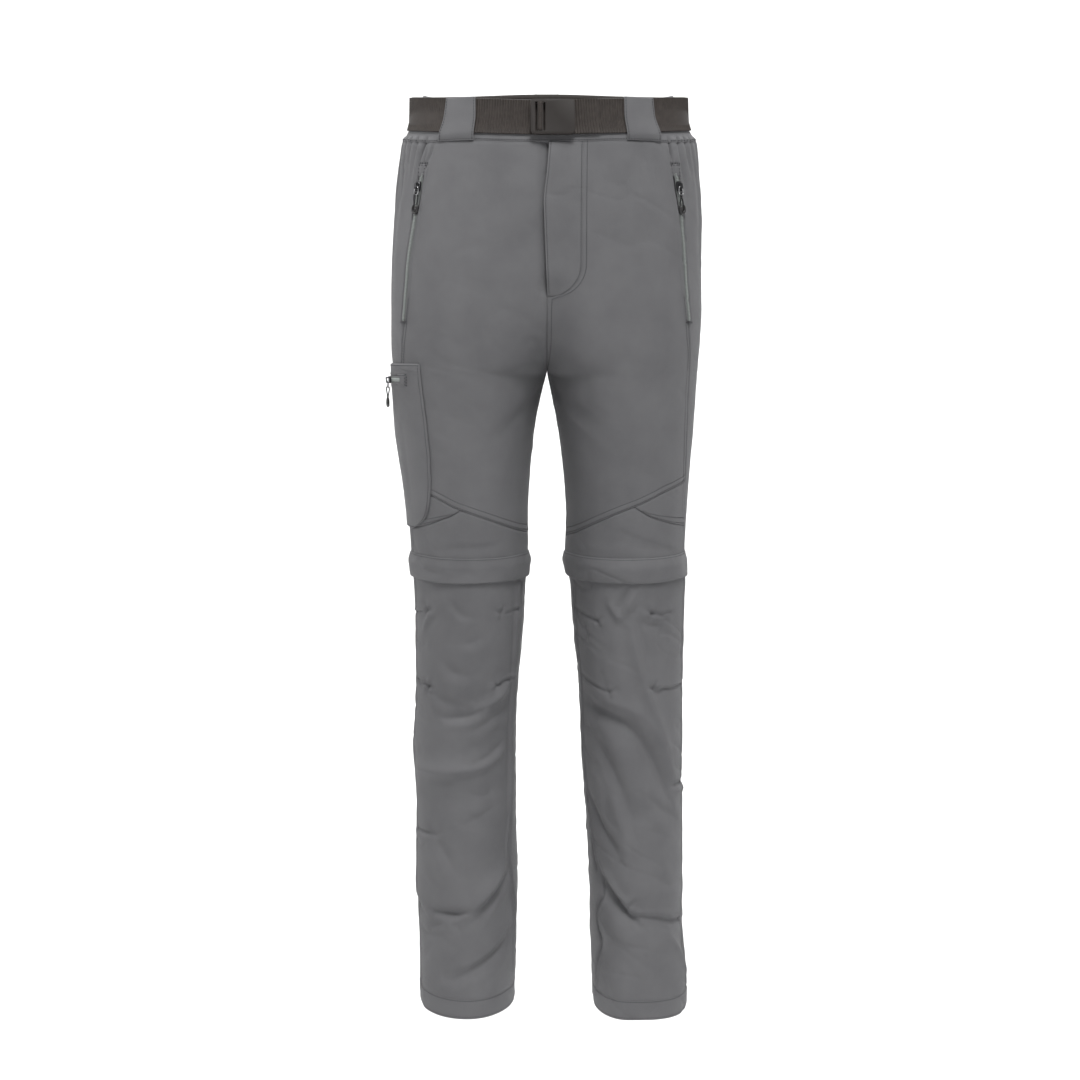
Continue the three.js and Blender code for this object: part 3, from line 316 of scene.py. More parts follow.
# Creases, one by one: leg, depth and width in millimetres, lean from -1 to 1 says which side is the
# steep one, then the line it follows as share and height
creases = [
    # right thigh
    ["right", 0.8, 9, 0.3, [(0.25, -352), (0.22, -370), (0.185, -390)]],
    ["right", -0.9, 8, -0.3, [(0.235, -350), (0.2, -374), (0.16, -396)]],
    ["right", 0.7, 9, 0.3, [(0.31, -376), (0.28, -400), (0.245, -430)]],
    ["right", -1.5, 9, 0.2, [(0.03, -330), (0.1, -352), (0.18, -388)]],
    ["right", -0.6, 4, 0.2, [(0.165, -438), (0.13, -444), (0.09, -446)]],
    ["right", 0.9, 5, 0.2, [(0.28, -507), (0.24, -504), (0.17, -503)]],
    ["right", -1.0, 3.6, 0.3, [(0.31, -513), (0.25, -511), (0.17, -509)]],
    ["right", -0.8, 6, 0.2, [(0.4, -380), (0.4, -420), (0.39, -460)]],
    # left thigh
    ["left", -1.3, 10, 0.2, [(0.03, -331), (0.11, -350), (0.2, -381)]],
    ["left", 0.7, 10, -0.2, [(0.06, -345), (0.13, -372), (0.22, -410)]],
    ["left", -0.8, 10, 0.3, [(0.2, -400), (0.27, -425), (0.33, -440)]],
    ["left", -1.4, 3.6, 0.4, [(0.22, -492), (0.27, -503), (0.34, -511)]],
    ["left", -1.1, 3.2, 0.4, [(0.22, -501), (0.29, -512), (0.37, -516)]],
    ["left", 0.8, 5, -0.2, [(0.14, -508), (0.2, -513), (0.27, -516)]],
    ["left", -0.6, 6, 0.2, [(0.115, -66), (0.117, -84), (0.122, -104)]],
    ["left", -0.8, 6, 0.2, [(0.225, -68), (0.23, -90), (0.238, -112)]],
    ["left", -0.9, 7, -0.2, [(0.262, -76), (0.266, -104), (0.272, -134)]],
    ["left", -0.5, 6, 0.2, [(0.05, -70), (0.048, -95), (0.05, -120)]],
    ["right", -0.6, 9, 0.2, [(0.2, -72), (0.205, -96), (0.215, -126)]],
    # right lower leg, front
    ["right", -1.0, 7, 0.3, [(0.33, -846), (0.3, -862), (0.275, -880)]],
    ["right", 0.8, 7, -0.3, [(0.19, -842), (0.155, -852), (0.13, -868)]],
    ["right", -0.9, 5, 0.3, [(0.42, -956), (0.37, -959), (0.32, -957)]],
    ["right", -1.0, 6, 0.3, [(0.3, -640), (0.275, -652), (0.235, -656)]],
    ["right", -0.9, 1.3, 0.4, [(0.36, -584), (0.44, -589), (0.53, -594)]],
    ["right", 0.9, 4, 0.2, [(0.372, -606), (0.352, -592), (0.33, -585)]],
    ["right", -0.9, 1.3, -0.4, [(0.142, -586), (0.09, -584), (0.035, -580)]],
    ["right", -1.0, 1.3, 0.4, [(0.35, -670), (0.41, -667), (0.48, -662)]],
    ["right", -0.9, 5, 0.3, [(0.35, -671), (0.31, -684), (0.27, -690)]],
    ["right", -1.0, 1.3, -0.4, [(0.152, -668), (0.115, -664), (0.075, -664)]],
    ["right", -0.9, 4, 0.2, [(0.275, -576), (0.254, -586), (0.233, -590)]],
    ["right", -1.0, 6, 0.2, [(0.25, -620), (0.23, -618), (0.2, -612)]],
    ["right", 1.5, 5, 0.5, [(0.11, -668), (0.16, -684), (0.21, -694)]],
    ["right", -1.8, 4, -0.6, [(0.205, -698), (0.24, -704), (0.29, -706)]],
    ["right", 1.2, 6, 0.3, [(0.405, -768), (0.31, -768), (0.225, -762), (0.142, -752)]],
    ["right", -1.4, 4, 0.4, [(0.225, -758), (0.18, -752), (0.129, -740)]],
    ["right", -0.9, 5, 0.3, [(0.2, -716), (0.15, -704), (0.11, -700)]],
    ["right", -1.0, 7, -0.3, [(0.25, -826), (0.21, -820), (0.16, -810)]],
    ["right", -1.5, 3.6, 0.4, [(0.44, -842), (0.39, -842), (0.33, -840)]],
    ["right", -2.4, 4, 0.6, [(0.345, -932), (0.29, -932), (0.233, -928)]],
    ["right", 1.8, 6, 0.4, [(0.235, -928), (0.185, -908), (0.13, -884)]],
    ["right", -1.4, 5, 0.4, [(0.22, -936), (0.175, -918), (0.12, -896)]],
    ["right", -0.9, 4, 0.2, [(0.367, -950), (0.335, -946), (0.3, -938)]],
    ["right", -0.6, 3, 0.2, [(0.283, -940), (0.267, -948), (0.262, -956)]],
    ["right", -1.9, 6, 0.5, [(0.29, -1006), (0.2, -990), (0.11, -970)]],
    ["right", 0.9, 6, 0.2, [(0.28, -994), (0.2, -980), (0.12, -962)]],
    ["right", -2.6, 2.0, 0.3, [(0.062, -556), (0.055, -640), (0.05, -740), (0.065, -800), (0.098, -868),
                               (0.085, -900), (0.05, -950), (0.045, -1004)]],
    ["right", 1.2, 4, 0.2, [(0.085, -560), (0.078, -660), (0.075, -760), (0.09, -820)]],
    ["right", -1.2, 5, 0.2, [(0.5, -700), (0.47, -730), (0.45, -770)]],
    ["right", -1.3, 5, -0.2, [(0.52, -900), (0.47, -925), (0.4, -935)]],
    # left lower leg, front
    ["left", -1.2, 6, 0.3, [(0.262, -596), (0.27, -612), (0.28, -634)]],
    ["left", -1.3, 4, 0.4, [(0.3, -668), (0.315, -676), (0.335, -674)]],
    ["left", 0.9, 7, -0.3, [(0.19, -800), (0.21, -830), (0.225, -862)]],
    ["left", -0.8, 6, 0.3, [(0.3, -890), (0.35, -900), (0.41, -902)]],
    ["left", -0.9, 1.3, 0.4, [(0.052, -583), (0.11, -589), (0.155, -594)]],
    ["left", -1.1, 1.4, -0.4, [(0.295, -586), (0.33, -588), (0.37, -585)]],
    ["left", -0.9, 1.3, 0.4, [(0.07, -661), (0.13, -668), (0.18, -675)]],
    ["left", -1.0, 1.4, 0.4, [(0.305, -671), (0.37, -674), (0.485, -671)]],
    ["left", 1.3, 4, 0.2, [(0.218, -592), (0.203, -583), (0.19, -574)]],
    ["left", 1.2, 4, 0.2, [(0.25, -566), (0.238, -576), (0.228, -584)]],
    ["left", -1.6, 4.5, 0.2, [(0.235, -554), (0.226, -566), (0.212, -580)]],
    ["left", -1.2, 4, 0.3, [(0.268, -594), (0.29, -599), (0.318, -600)]],
    ["left", -0.9, 3, 0.2, [(0.113, -600), (0.112, -610), (0.107, -620)]],
    ["left", 1.5, 6, -0.4, [(0.245, -600), (0.262, -645), (0.3, -692), (0.345, -736)]],
    ["left", -1.9, 7, 0.5, [(0.117, -694), (0.217, -708), (0.283, -738), (0.354, -792)]],
    ["left", 1.0, 7, -0.3, [(0.14, -684), (0.24, -694), (0.31, -722), (0.375, -772)]],
    ["left", -1.3, 9, 0.3, [(0.133, -734), (0.18, -762), (0.212, -790), (0.237, -820)]],
    ["left", -1.6, 3, 0.3, [(0.51, -790), (0.45, -789), (0.379, -788)]],
    ["left", -1.1, 6, 0.3, [(0.283, -796), (0.33, -812), (0.385, -824)]],
    ["left", -0.9, 5, 0.3, [(0.283, -834), (0.31, -838), (0.34, -843)]],
    ["left", -1.4, 6, 0.3, [(0.087, -806), (0.14, -836), (0.195, -862)]],
    ["left", -3.0, 3.6, 0.7, [(0.15, -894), (0.185, -914), (0.215, -927), (0.25, -938)]],
    ["left", 1.5, 6, -0.4, [(0.12, -870), (0.17, -898), (0.225, -918)]],
    ["left", -1.1, 3, 0.2, [(0.217, -924), (0.23, -920), (0.245, -916)]],
    ["left", -1.6, 3, 0.4, [(0.242, -932), (0.321, -937), (0.4, -946), (0.49, -950)]],
    ["left", -2.6, 1.7, 0.3, [(0.129, -892), (0.138, -912), (0.104, -940), (0.133, -968), (0.1, -994),
                              (0.079, -1030)]],
    ["left", -2.6, 2.0, 0.3, [(0.05, -556), (0.045, -660), (0.05, -760), (0.07, -840), (0.1, -886)]],
    ["left", -1.0, 11, 0.2, [(0.133, -946), (0.17, -962), (0.21, -980)]],
    ["left", 1.2, 5, 0.2, [(0.36, -960), (0.42, -985), (0.46, -1010)]],
    # backs, like the fronts
    ["right", -1.6, 7, 0.3, [(0.66, -316), (0.76, -334), (0.88, -330)]],
    ["left", -1.6, 7, 0.3, [(0.64, -322), (0.75, -336), (0.87, -326)]],
    ["right", -1.5, 5, 0.3, [(0.6, -500), (0.72, -508), (0.86, -500)]],
    ["left", -1.5, 5, 0.3, [(0.58, -498), (0.7, -506), (0.84, -510)]],
    ["right", -2.2, 4, 0.5, [(0.64, -572), (0.77, -584), (0.9, -590)]],
    ["left", -2.2, 4, 0.5, [(0.62, -588), (0.76, -582), (0.89, -570)]],
    ["right", -1.4, 5, -0.3, [(0.58, -612), (0.7, -628), (0.8, -622)]],
    ["left", -1.4, 5, -0.3, [(0.6, -630), (0.72, -620), (0.86, -632)]],
    ["right", 1.4, 6, 0.3, [(0.62, -690), (0.74, -700), (0.86, -688)]],
    ["left", 1.3, 6, 0.3, [(0.64, -702), (0.76, -694), (0.9, -706)]],
    ["right", -1.9, 5, 0.4, [(0.66, -744), (0.78, -760), (0.94, -782)]],
    ["left", -1.9, 5, 0.4, [(0.6, -774), (0.78, -760), (0.92, -740)]],
    ["right", -1.2, 4, 0.3, [(0.6, -800), (0.7, -812), (0.78, -808)]],
    ["left", -1.3, 4, 0.3, [(0.7, -812), (0.8, -822), (0.9, -812)]],
    ["right", -1.8, 5, 0.4, [(0.6, -866), (0.74, -856), (0.87, -840)]],
    ["left", -1.8, 5, 0.4, [(0.6, -866), (0.74, -882), (0.89, -898)]],
    ["right", -1.7, 5, 0.4, [(0.66, -946), (0.78, -958), (0.92, -974)]],
    ["left", -1.7, 5, 0.4, [(0.62, -964), (0.76, -956), (0.9, -938)]],
    ["right", -1.1, 4, 0.2, [(0.56, -1004), (0.66, -996), (0.74, -1000)]],
    ["left", -1.1, 4, 0.2, [(0.7, -1000), (0.8, -1008), (0.88, -1002)]],
]
# Points of the knee darts, where the cloth is pinched: leg, share, height, turn of the puckers
darts = [
    ["right", 0.355, -583, 0.3], ["right", 0.15, -585, 2.1],
    ["right", 0.355, -671, 1.2], ["right", 0.155, -669, 0.0],
    ["left", 0.155, -594, 0.8], ["left", 0.295, -586, 2.6],
    ["left", 0.185, -675, 1.7], ["left", 0.3, -671, 0.4],
]
drape = dict(
    broad=1.15,  # height of the broad unevenness
    broadSize=(64, 64, 92),
    small=0.55,
    smallSize=(24, 24, 17),
    thighShare=0.55,  # how much of both the upper legs have
    wrinkle=-1.1,
    wrinkleLean=0.45,
    wrinkleSize=(58, 21, 1),
    wrinkleSharp=0.22,
    lowerCreases=0.25,  # how much deeper the creases are below the knee, and in front as well
    frontCreases=1.1,
    dart=3.0,
    dartSize=2.4,
    dartPucker=1.5,
    dartReach=9,
    gatherPitch=14.5,
    gather=3.0,
    gatherLength=74,
    longWave=1.5,
    backPucker=0.7,
)


def creaseLift(leg, s, z, girth):
    lift = np.zeros(s.shape)
    for owner, depth, width, lean, line in creases:
        if owner != leg:
            continue
        line = np.array(line, float)
        reach = 4 * width
        heights = line[:, 1]
        near = (z > heights.min() - reach) & (z < heights.max() + reach)
        if not near.any():
            continue
        at = np.stack([s[near] * girth[near], z[near]], axis=-1)
        # the line in millimetres of cloth, made smooth
        steps = np.linspace(0, 1, 8 * (len(line) - 1) + 1)
        knots = np.linspace(0, 1, len(line))
        shares = follow(np.stack([knots, line[:, 0]], 1), steps)
        levels = follow(np.stack([knots, line[:, 1]], 1), steps)
        path = np.stack([shares * girthAt(leg, levels), levels], axis=-1)
        best = np.full(at.shape[0], 1e9)
        offset, where = np.zeros(at.shape[0]), np.zeros(at.shape[0])
        for k in range(len(path) - 1):
            a, run = path[k], path[k + 1] - path[k]
            t = np.clip(((at - a) @ run) / (run @ run), 0, 1)
            gap = at - a - t[:, None] * run
            far = np.hypot(gap[:, 0], gap[:, 1])
            closer = far < best
            best = np.where(closer, far, best)
            turn = np.sign(run[0] * gap[:, 1] - run[1] * gap[:, 0])
            offset = np.where(closer, turn * far, offset)
            where = np.where(closer, (k + t) / (len(path) - 1), where)
        taper = np.sqrt(np.sin(math.pi * (0.07 + 0.86 * where)))
        steep = np.where(offset * np.sign(lean) > 0, 1 - 0.55 * abs(lean), 1 + 0.7 * abs(lean))
        shape = np.exp(-((best / (width * steep)) ** 1.45))
        lip = -0.4 * np.exp(-(((offset * np.sign(lean) - 2 * width) / (1.3 * width)) ** 2))
        lift[near] += depth * taper * (shape + lip)
    return lift


def gatherTurn(s):
    return math.pi * s * halfGirth / drape["gatherPitch"]


def gatherWave(s, wander):
    # broad crests with narrow valleys
    turn = gatherTurn(s) + 3.0 * wander
    return 0.6 - 1.7 * np.exp(-((np.sin(turn) / 0.4) ** 2)) * (1 + 0.5 * wander)


def gatherWander(p):
    return softNoise(p, (40, 40, 60), 1.9)


def foldLift(leg, s, z, girth):
    lift = np.zeros(s.shape)
    for owner, s0, z0, s1, z1, amount in folds["rows"]:
        if owner == leg:
            fromX, fromY, runX, runY = s0 * girth, z0, (s1 - s0) * girth, z1 - z0
            x, y = s * girth - fromX, z - fromY
            t = np.clip((x * runX + y * runY) / (runX**2 + runY**2), 0, 1)
            away = np.hypot(x - t * runX, y - t * runY) / folds["reach"]
            lift += amount * np.exp(-(away**2)) * (0.55 + 0.45 * np.sin(math.pi * t))
    return lift


def dartLift(leg, s, z, girth):
    # a pinched point with three puckers that run out from it
    lift = np.zeros(s.shape)
    for owner, share, level, turn in darts:
        if owner == leg:
            x, y = (s - share) * girth, z - level
            r, a = np.hypot(x, y), np.arctan2(y, x)
            lift -= drape["dart"] * np.exp(-((r / drape["dartSize"]) ** 2))
            pucker = np.exp(-((r / drape["dartReach"]) ** 2)) * (1 - np.exp(-((r / 2.5) ** 2)))
            lift += drape["dartPucker"] * np.cos(3 * a + turn) * pucker
    return lift


def wrinkleLift(leg, s, z, girth):
    # sharp slanting wrinkles where two noises cross
    lean, shift = (drape["wrinkleLean"], 6.3) if leg == "right" else (-drape["wrinkleLean"], 1.2)
    flat = np.stack([s * girth + lean * z, z - lean * s * girth, 0 * z], -1)
    line = np.abs(softNoise(flat, drape["wrinkleSize"], shift)) / drape["wrinkleSharp"]
    patchy = smooth((softNoise(flat, (75, 60, 1), 2.9) + 0.25) / 0.6)
    return drape["wrinkle"] * patchy * np.maximum(1 - line, 0) ** 1.2


def gatherLift(s, z, p):
    # elastic at the sides gathers the cloth into upright waves that run out downwards
    wander = gatherWander(p)
    length = drape["gatherLength"] + 46 * softNoise(p, (11, 11, 400), 5.1)
    short = drape["gather"] * elasticSpan(s) * gatherWave(s, wander) * fall(-z - 62, length)
    slow = np.sin(gatherTurn(s) + 1.2 + 2.2 * wander)
    long = drape["longWave"] * fall(np.abs(s - 0.47), 0.16) * slow * fall(-z - 80, 210)
    return short * smooth((-z - 44) / 14) + long * smooth((-z - 66) / 40)


def relief(leg, s, z, p):
    girth = girthAt(leg, z)
    ahead = 1 - smooth((s - 0.45) / 0.1)
    below = smooth((-z - 540) / 30)
    lift = foldLift(leg, s, z, girth) + dartLift(leg, s, z, girth) + gatherLift(s, z, p)
    deeper = 1 + (drape["lowerCreases"] + drape["frontCreases"] * ahead) * below
    lift += deeper * creaseLift(leg, s, z, girth)
    uneven = drape["broad"] * softNoise(p, drape["broadSize"], 3.3)
    uneven += drape["small"] * softNoise(p, drape["smallSize"], 7.7) + wrinkleLift(leg, s, z, girth)
    share = drape["thighShare"] + (1 - drape["thighShare"]) * smooth((-z - 500) / 60)
    lift += share * smooth((-z - 66) / 50) * uneven  # the waist is held by the belt
    # crosswise puckers on the back, by the side seam and the inseam
    band = fall(np.abs(s - 0.56), 0.1) + 0.7 * fall(np.abs(s - 0.97), 0.06)
    return lift + drape["backPucker"] * band * smooth((-z - 300) / 40) * softNoise(p, (30, 30, 8.5), 2.6)


def skin(leg, s, z, off, shaped=True, clamped=True):
    s, z = np.broadcast_arrays(np.asarray(s, float), np.asarray(z, float))
    p = onGrid(surfaces[leg]["grid"], s, z)
    n = onGrid(surfaces[leg]["normal"], s, z)
    n = n / np.linalg.norm(n, axis=-1, keepdims=True)
    over = s < 0
    p[..., 0] = np.where(over, -p[..., 0], p[..., 0])
    n[..., 0] = np.where(over, -n[..., 0], n[..., 0])
    lift = off + (relief(leg, np.abs(s), z, p) if shaped else 0)
    if clamped:
        # the two halves stay together at the middle above the crotch
        middle = np.minimum(np.abs(s), np.abs(1 - s)) * girthAt(leg, z)
        n = n.copy()
        n[..., 0] *= 1 - fall(middle, body["middleHold"]) * smooth((z - body["crotch"] + 8) / 6)
    q = p + n * np.asarray(lift)[..., None]
    if clamped:
        sign = sideSign[leg]
        q[..., 0] = sign * np.maximum(sign * q[..., 0], body["middleGap"])
    return q, n


seamRows = dict(first=1.7, second=7.2)  # stitches of a felled seam, from its edge


def groove(d, at, width, depth):
    return -depth * np.exp(-(((d - at) / width) ** 2))


# How cloth lies beside the edge of a piece, by the distance from that edge
edgeForms = dict(
    felled=lambda d: (
        0.3 * smooth(d / 1.2) * (1 - smooth((d - 7.6) / 1.2)) + groove(d, 0, 0.8, 0.6)
        + groove(d, 1.8, 0.6, 0.25) + groove(d, seamRows["second"], 0.7, 0.5)
    ),
    under=lambda d: groove(d, 0, 1.5, 1.0),
    free=lambda d: groove(d, 0, 0.7, 0.5) + groove(d, 2.2, 0.7, 0.35),
    hemmed=lambda d: 0.35 * fall(d, 21) + groove(d, 0, 0.8, 0.8) + groove(d, 1.8, 0.7, 0.35),
    flush=lambda d: groove(d, 0, 0.8, 0.3) + groove(d, 1.6, 0.7, 0.28),
    tucked=lambda d: -0.8 * fall(d, 3.5),
    plain=lambda d: 0 * d,
)
edgeSteps = [0, 0.5, 1.1, 1.7, 2.4, 3.4, 4.6, 5.8, 6.6, 7.2, 7.8, 8.6, 9.6, 11.5]


def spacing(length, pitch, low=True, high=True):
    # shares of a length with close steps beside the seams
    if length < 30:
        return np.linspace(0, 1, max(4, int(length / (0.6 * pitch)) + 1))
    start = edgeSteps if low else [0]
    end = [length - e for e in reversed(edgeSteps)] if high else [length]
    count = max(2, int(round((end[0] - start[-1]) / pitch)))
    middle = np.linspace(start[-1], end[0], count + 1)[1:-1]
    return np.array([*start, *middle, *end]) / length


def pieceShape(spec):
    # gives a function from u and v, 0 to 1 across and down, and a lift to points, normals, shares, heights
    leg, warp = spec["leg"], spec.get("warp", lambda s, z: z)
    forms = spec["forms"]

    def at(u, v, extra=0.0, inner=False):
        u, v = np.broadcast_arrays(np.asarray(u, float), np.asarray(v, float))
        # the side edges depend on the height and the others on the share, so both are found by steps
        z = np.full(u.shape, 0.5 * (spec["high"] + spec["low"]))
        for _ in range(7):
            left, right = spec["left"](z), spec["right"](z)
            s = left + (right - left) * u
            top, bottom = spec["top"](s), spec["bottom"](s)
            z = top + (bottom - top) * v
        girth = girthAt(leg, z)
        wide, tall = (right - left) * girth, top - bottom
        across = [u * wide, (1 - u) * wide]
        along = [v * tall, (1 - v) * tall]
        lift = np.zeros(u.shape)
        pucker = np.zeros(u.shape)
        for distance, form in zip([*across, *along], forms):
            lift = lift + edgeForms[form](distance)
            if form in ("felled", "under", "hemmed", "flush"):
                pucker = np.maximum(pucker, np.exp(-((distance / 8) ** 2)))
        height = warp(s, z)
        off = spec.get("off", 0.0)
        if callable(off):
            off = off(s, height, across, along)
        rough = onGrid(surfaces[leg]["grid"], s, height)
        lift = lift + spec.get("pucker", 0.3) * pucker * softNoise(rough, (6.5, 6.5, 6.5), 4.2)
        if inner:
            extra = extra - np.minimum(spec["thick"], np.maximum(off + lift - spec.get("floor", -9), 0.2))
        points, normals = skin(leg, s, height, off + lift + extra, clamped=spec.get("clamped", True))
        return points, normals, s, height

    return at


def wallMesh(name, outer, inner, uv, wraps=False):
    # closed shell between two grids of points in millimetres, with a UV in metres along the cloth
    rows, columns = outer.shape[:2]
    verts = np.concatenate([outer.reshape(-1, 3), inner.reshape(-1, 3)]) * mm
    index = np.arange(rows * columns).reshape(rows, columns)
    if wraps:
        index = np.concatenate([index, index[:, :1]], axis=1)
    a, b, c, d = index[:-1, :-1], index[1:, :-1], index[1:, 1:], index[:-1, 1:]
    front = np.stack([a, b, c, d], -1).reshape(-1, 4)
    shift = rows * columns
    back = front[:, ::-1] + shift
    edges = [index[0], index[-1]] if wraps else [index[0], index[-1], index[:, 0], index[:, -1]]
    rims = [np.stack([e[:-1], e[1:], e[1:] + shift, e[:-1] + shift], -1) for e in edges]
    faces = np.concatenate([front, back, *rims])
    made = bpy.data.meshes.new(name)
    made.from_pydata(verts.tolist(), [], faces.tolist())
    flat = np.concatenate([uv.reshape(-1, 2), uv.reshape(-1, 2)])
    layer = made.uv_layers.new(name="cloth")
    loops = np.empty(len(made.loops), int)
    made.loops.foreach_get("vertex_index", loops)
    layer.data.foreach_set("uv", (flat[loops] * mm).ravel().astype(np.float32))
    return finished(name, made)


def finished(name, made):
    # a smooth mesh object with its faces pointing out
    work = bmesh.new()
    work.from_mesh(made)
    bmesh.ops.recalc_face_normals(work, faces=work.faces)
    if work.calc_volume(signed=True) < 0:
        bmesh.ops.reverse_faces(work, faces=work.faces)
    work.to_mesh(made)
    work.free()
    made.shade_smooth()
    made.update()
    item = bpy.data.objects.new(name, made)
    bpy.context.scene.collection.objects.link(item)
    return item


def nodeMaker(tree):
    # makes a node with its settings, and sets or links its inputs
    def node(kind, inputs=(), **settings):
        item = tree.nodes.new(kind)
        for key, value in settings.items():
            setattr(item, key, value)
        for key, value in dict(inputs).items():
            if isinstance(value, bpy.types.NodeSocket):
                tree.links.new(value, item.inputs[key])
            else:
                item.inputs[key].default_value = value
        return item

    return node


# Materials
def newMaterial(name):
    made = bpy.data.materials.new(name)
    made.use_nodes = True
    tree = made.node_tree
    return made, tree.nodes["Principled BSDF"], nodeMaker(tree), tree.links.new


def ramp(node, source, stops):
    item = node("ShaderNodeValToRGB", {"Fac": source})
    points = item.color_ramp.elements
    points[0].position, points[0].color = stops[0][0], (*stops[0][1], 1)
    points[1].position, points[1].color = stops[-1][0], (*stops[-1][1], 1)
    for position, colour in stops[1:-1]:
        extra = points.new(position)
        extra.color = (*colour, 1)
    return item.outputs["Color"]


clothLook = dict(
    colour=(0.146, 0.146, 0.151),
    deeper=(0.118, 0.118, 0.123),
    lighter=(0.17, 0.17, 0.175),
    weavePitch=0.55,  # millimetres between threads
    roughness=0.62,
    sheen=0.06,
    sheenRoughness=0.45,
    specular=0.16,
    fibreScale=1500.0,
    patchScale=26.0,
    broadScale=7.0,
)


def clothMaterial(name, look):
    # two crossed waves of thread, fibres over them and slow changes of tone
    made, shader, node, link = newMaterial(name)
    uv = node("ShaderNodeUVMap", uv_map="cloth").outputs["UV"]
    place = node("ShaderNodeTexCoord").outputs["Object"]

    def noise(vector, scale, detail, rough=0.5):
        values = {"Vector": vector, "Scale": scale, "Detail": detail, "Roughness": rough}
        return node("ShaderNodeTexNoise", values).outputs["Fac"]

    def sum2(first, second):
        return node("ShaderNodeMath", {0: first, 1: second}, operation="ADD").outputs[0]

    wave = {"Vector": uv, "Scale": 0.31416 / (look["weavePitch"] * mm), "Distortion": 0.6, "Detail": 1.0,
            "Detail Scale": 0.4}
    threads = [node("ShaderNodeTexWave", wave, bands_direction=axis).outputs["Fac"] for axis in "XY"]
    weave = node("ShaderNodeMath", {0: threads[0], 1: threads[1]}, operation="MULTIPLY").outputs[0]
    fibre = noise(uv, look["fibreScale"], 3.0)
    patch = noise(place, look["patchScale"], 4.0, 0.6)
    broad = noise(place, look["broadScale"], 2.0)
    mixed = sum2(sum2(sum2(patch, broad), weave), fibre)
    tone = node("ShaderNodeMapRange", {"Value": mixed, "From Min": 1.25, "From Max": 2.25}).outputs["Result"]
    colour = ramp(node, tone, [(0.0, look["deeper"]), (0.5, look["colour"]), (1.0, look["lighter"])])
    link(colour, shader.inputs["Base Color"])
    rough = node("ShaderNodeMapRange", {"Value": patch, "To Min": look["roughness"] - 0.05,
                                        "To Max": look["roughness"] + 0.07}).outputs["Result"]
    link(rough, shader.inputs["Roughness"])
    shader.inputs["Sheen Weight"].default_value = look["sheen"]
    shader.inputs["Sheen Roughness"].default_value = look["sheenRoughness"]
    shader.inputs["Specular IOR Level"].default_value = look["specular"]
    fine = node("ShaderNodeBump", {"Height": sum2(weave, fibre), "Strength": 0.6, "Distance": 0.0002})
    slow = node("ShaderNodeBump", {"Height": patch, "Strength": 0.35, "Distance": 0.0015,
                                   "Normal": fine.outputs[0]})
    link(slow.outputs[0], shader.inputs["Normal"])
    return made


def plainMaterial(name, colour, roughness, metallic=0.0, speckle=600.0, depth=0.06, vary=0.12, specular=0.5):
    # a moulded or metal finish with grain, depth millimetres deep, and a little change of tone
    made, shader, node, link = newMaterial(name)
    place = node("ShaderNodeTexCoord").outputs["Object"]
    grain = node("ShaderNodeTexNoise", {"Vector": place, "Scale": speckle, "Detail": 4.0}).outputs["Fac"]
    wide = node("ShaderNodeTexNoise", {"Vector": place, "Scale": speckle / 9, "Detail": 2.0}).outputs["Fac"]
    mixed = node("ShaderNodeMath", {0: grain, 1: wide}, operation="ADD").outputs[0]
    tone = node("ShaderNodeMapRange", {"Value": mixed, "From Min": 0.6, "From Max": 1.4}).outputs["Result"]
    dark = tuple(c * (1 - vary) for c in colour)
    light = tuple(min(1, c * (1 + vary)) for c in colour)
    link(ramp(node, tone, [(0.0, dark), (1.0, light)]), shader.inputs["Base Color"])
    rough = node("ShaderNodeMapRange", {"Value": wide, "To Min": roughness - 0.06,
                                        "To Max": roughness + 0.08}).outputs["Result"]
    link(rough, shader.inputs["Roughness"])
    shader.inputs["Metallic"].default_value = metallic
    shader.inputs["Specular IOR Level"].default_value = specular
    bump = node("ShaderNodeBump", {"Height": grain, "Strength": 0.4, "Distance": depth * mm})
    link(bump.outputs[0], shader.inputs["Normal"])
    return made


materials = dict(
    cloth=clothMaterial("clothGrey", clothLook),
    # painted shade: a dark brown for the waistband's inward faces, standing in for the shade inside the waist
    insideShade=plainMaterial("insideShadeBrown", (0.045, 0.039, 0.035), 0.7, speckle=1500, depth=0.2, vary=0.25,
                         specular=0.3),
    # the thread's own dark grey, made darker still as painted shade along the seams
    thread=plainMaterial("threadDarkSeamShade", (0.022, 0.022, 0.024), 0.6, speckle=1800, vary=0.2),
    webbing=plainMaterial("webbingBrown", (0.043, 0.036, 0.032), 0.66, speckle=1500, depth=0.2, vary=0.3,
                          specular=0.3),
    buckle=plainMaterial("buckleBrown", (0.027, 0.023, 0.021), 0.52, speckle=900, depth=0.03, vary=0.08,
                         specular=0.28),
    tape=plainMaterial("zipTapeGrey", (0.13, 0.137, 0.134), 0.7, speckle=1600, depth=0.15, vary=0.2),
    coil=plainMaterial("zipCoilGrey", (0.3, 0.325, 0.31), 0.42, speckle=1600, vary=0.15),
    slider=plainMaterial("sliderDark", (0.05, 0.05, 0.053), 0.32, metallic=0.7, speckle=900),
    ring=plainMaterial("ringSilver", (0.62, 0.62, 0.63), 0.24, metallic=1.0, speckle=900, depth=0.02,
                       vary=0.06),
    cord=plainMaterial("cordBlack", (0.012, 0.012, 0.013), 0.72, speckle=2600, depth=0.2, vary=0.4,
                       specular=0.3),
    grip=plainMaterial("gripDark", (0.02, 0.019, 0.019), 0.32, speckle=1200, depth=0.03),
)
print("stage: materials ready")


def dress(item, material, bodyName="trousers", nodes=()):
    item.data.materials.clear()
    item.data.materials.append(materials[material])
    if nodes:
        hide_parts(*nodes)
    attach(item, bodyName)
    return item


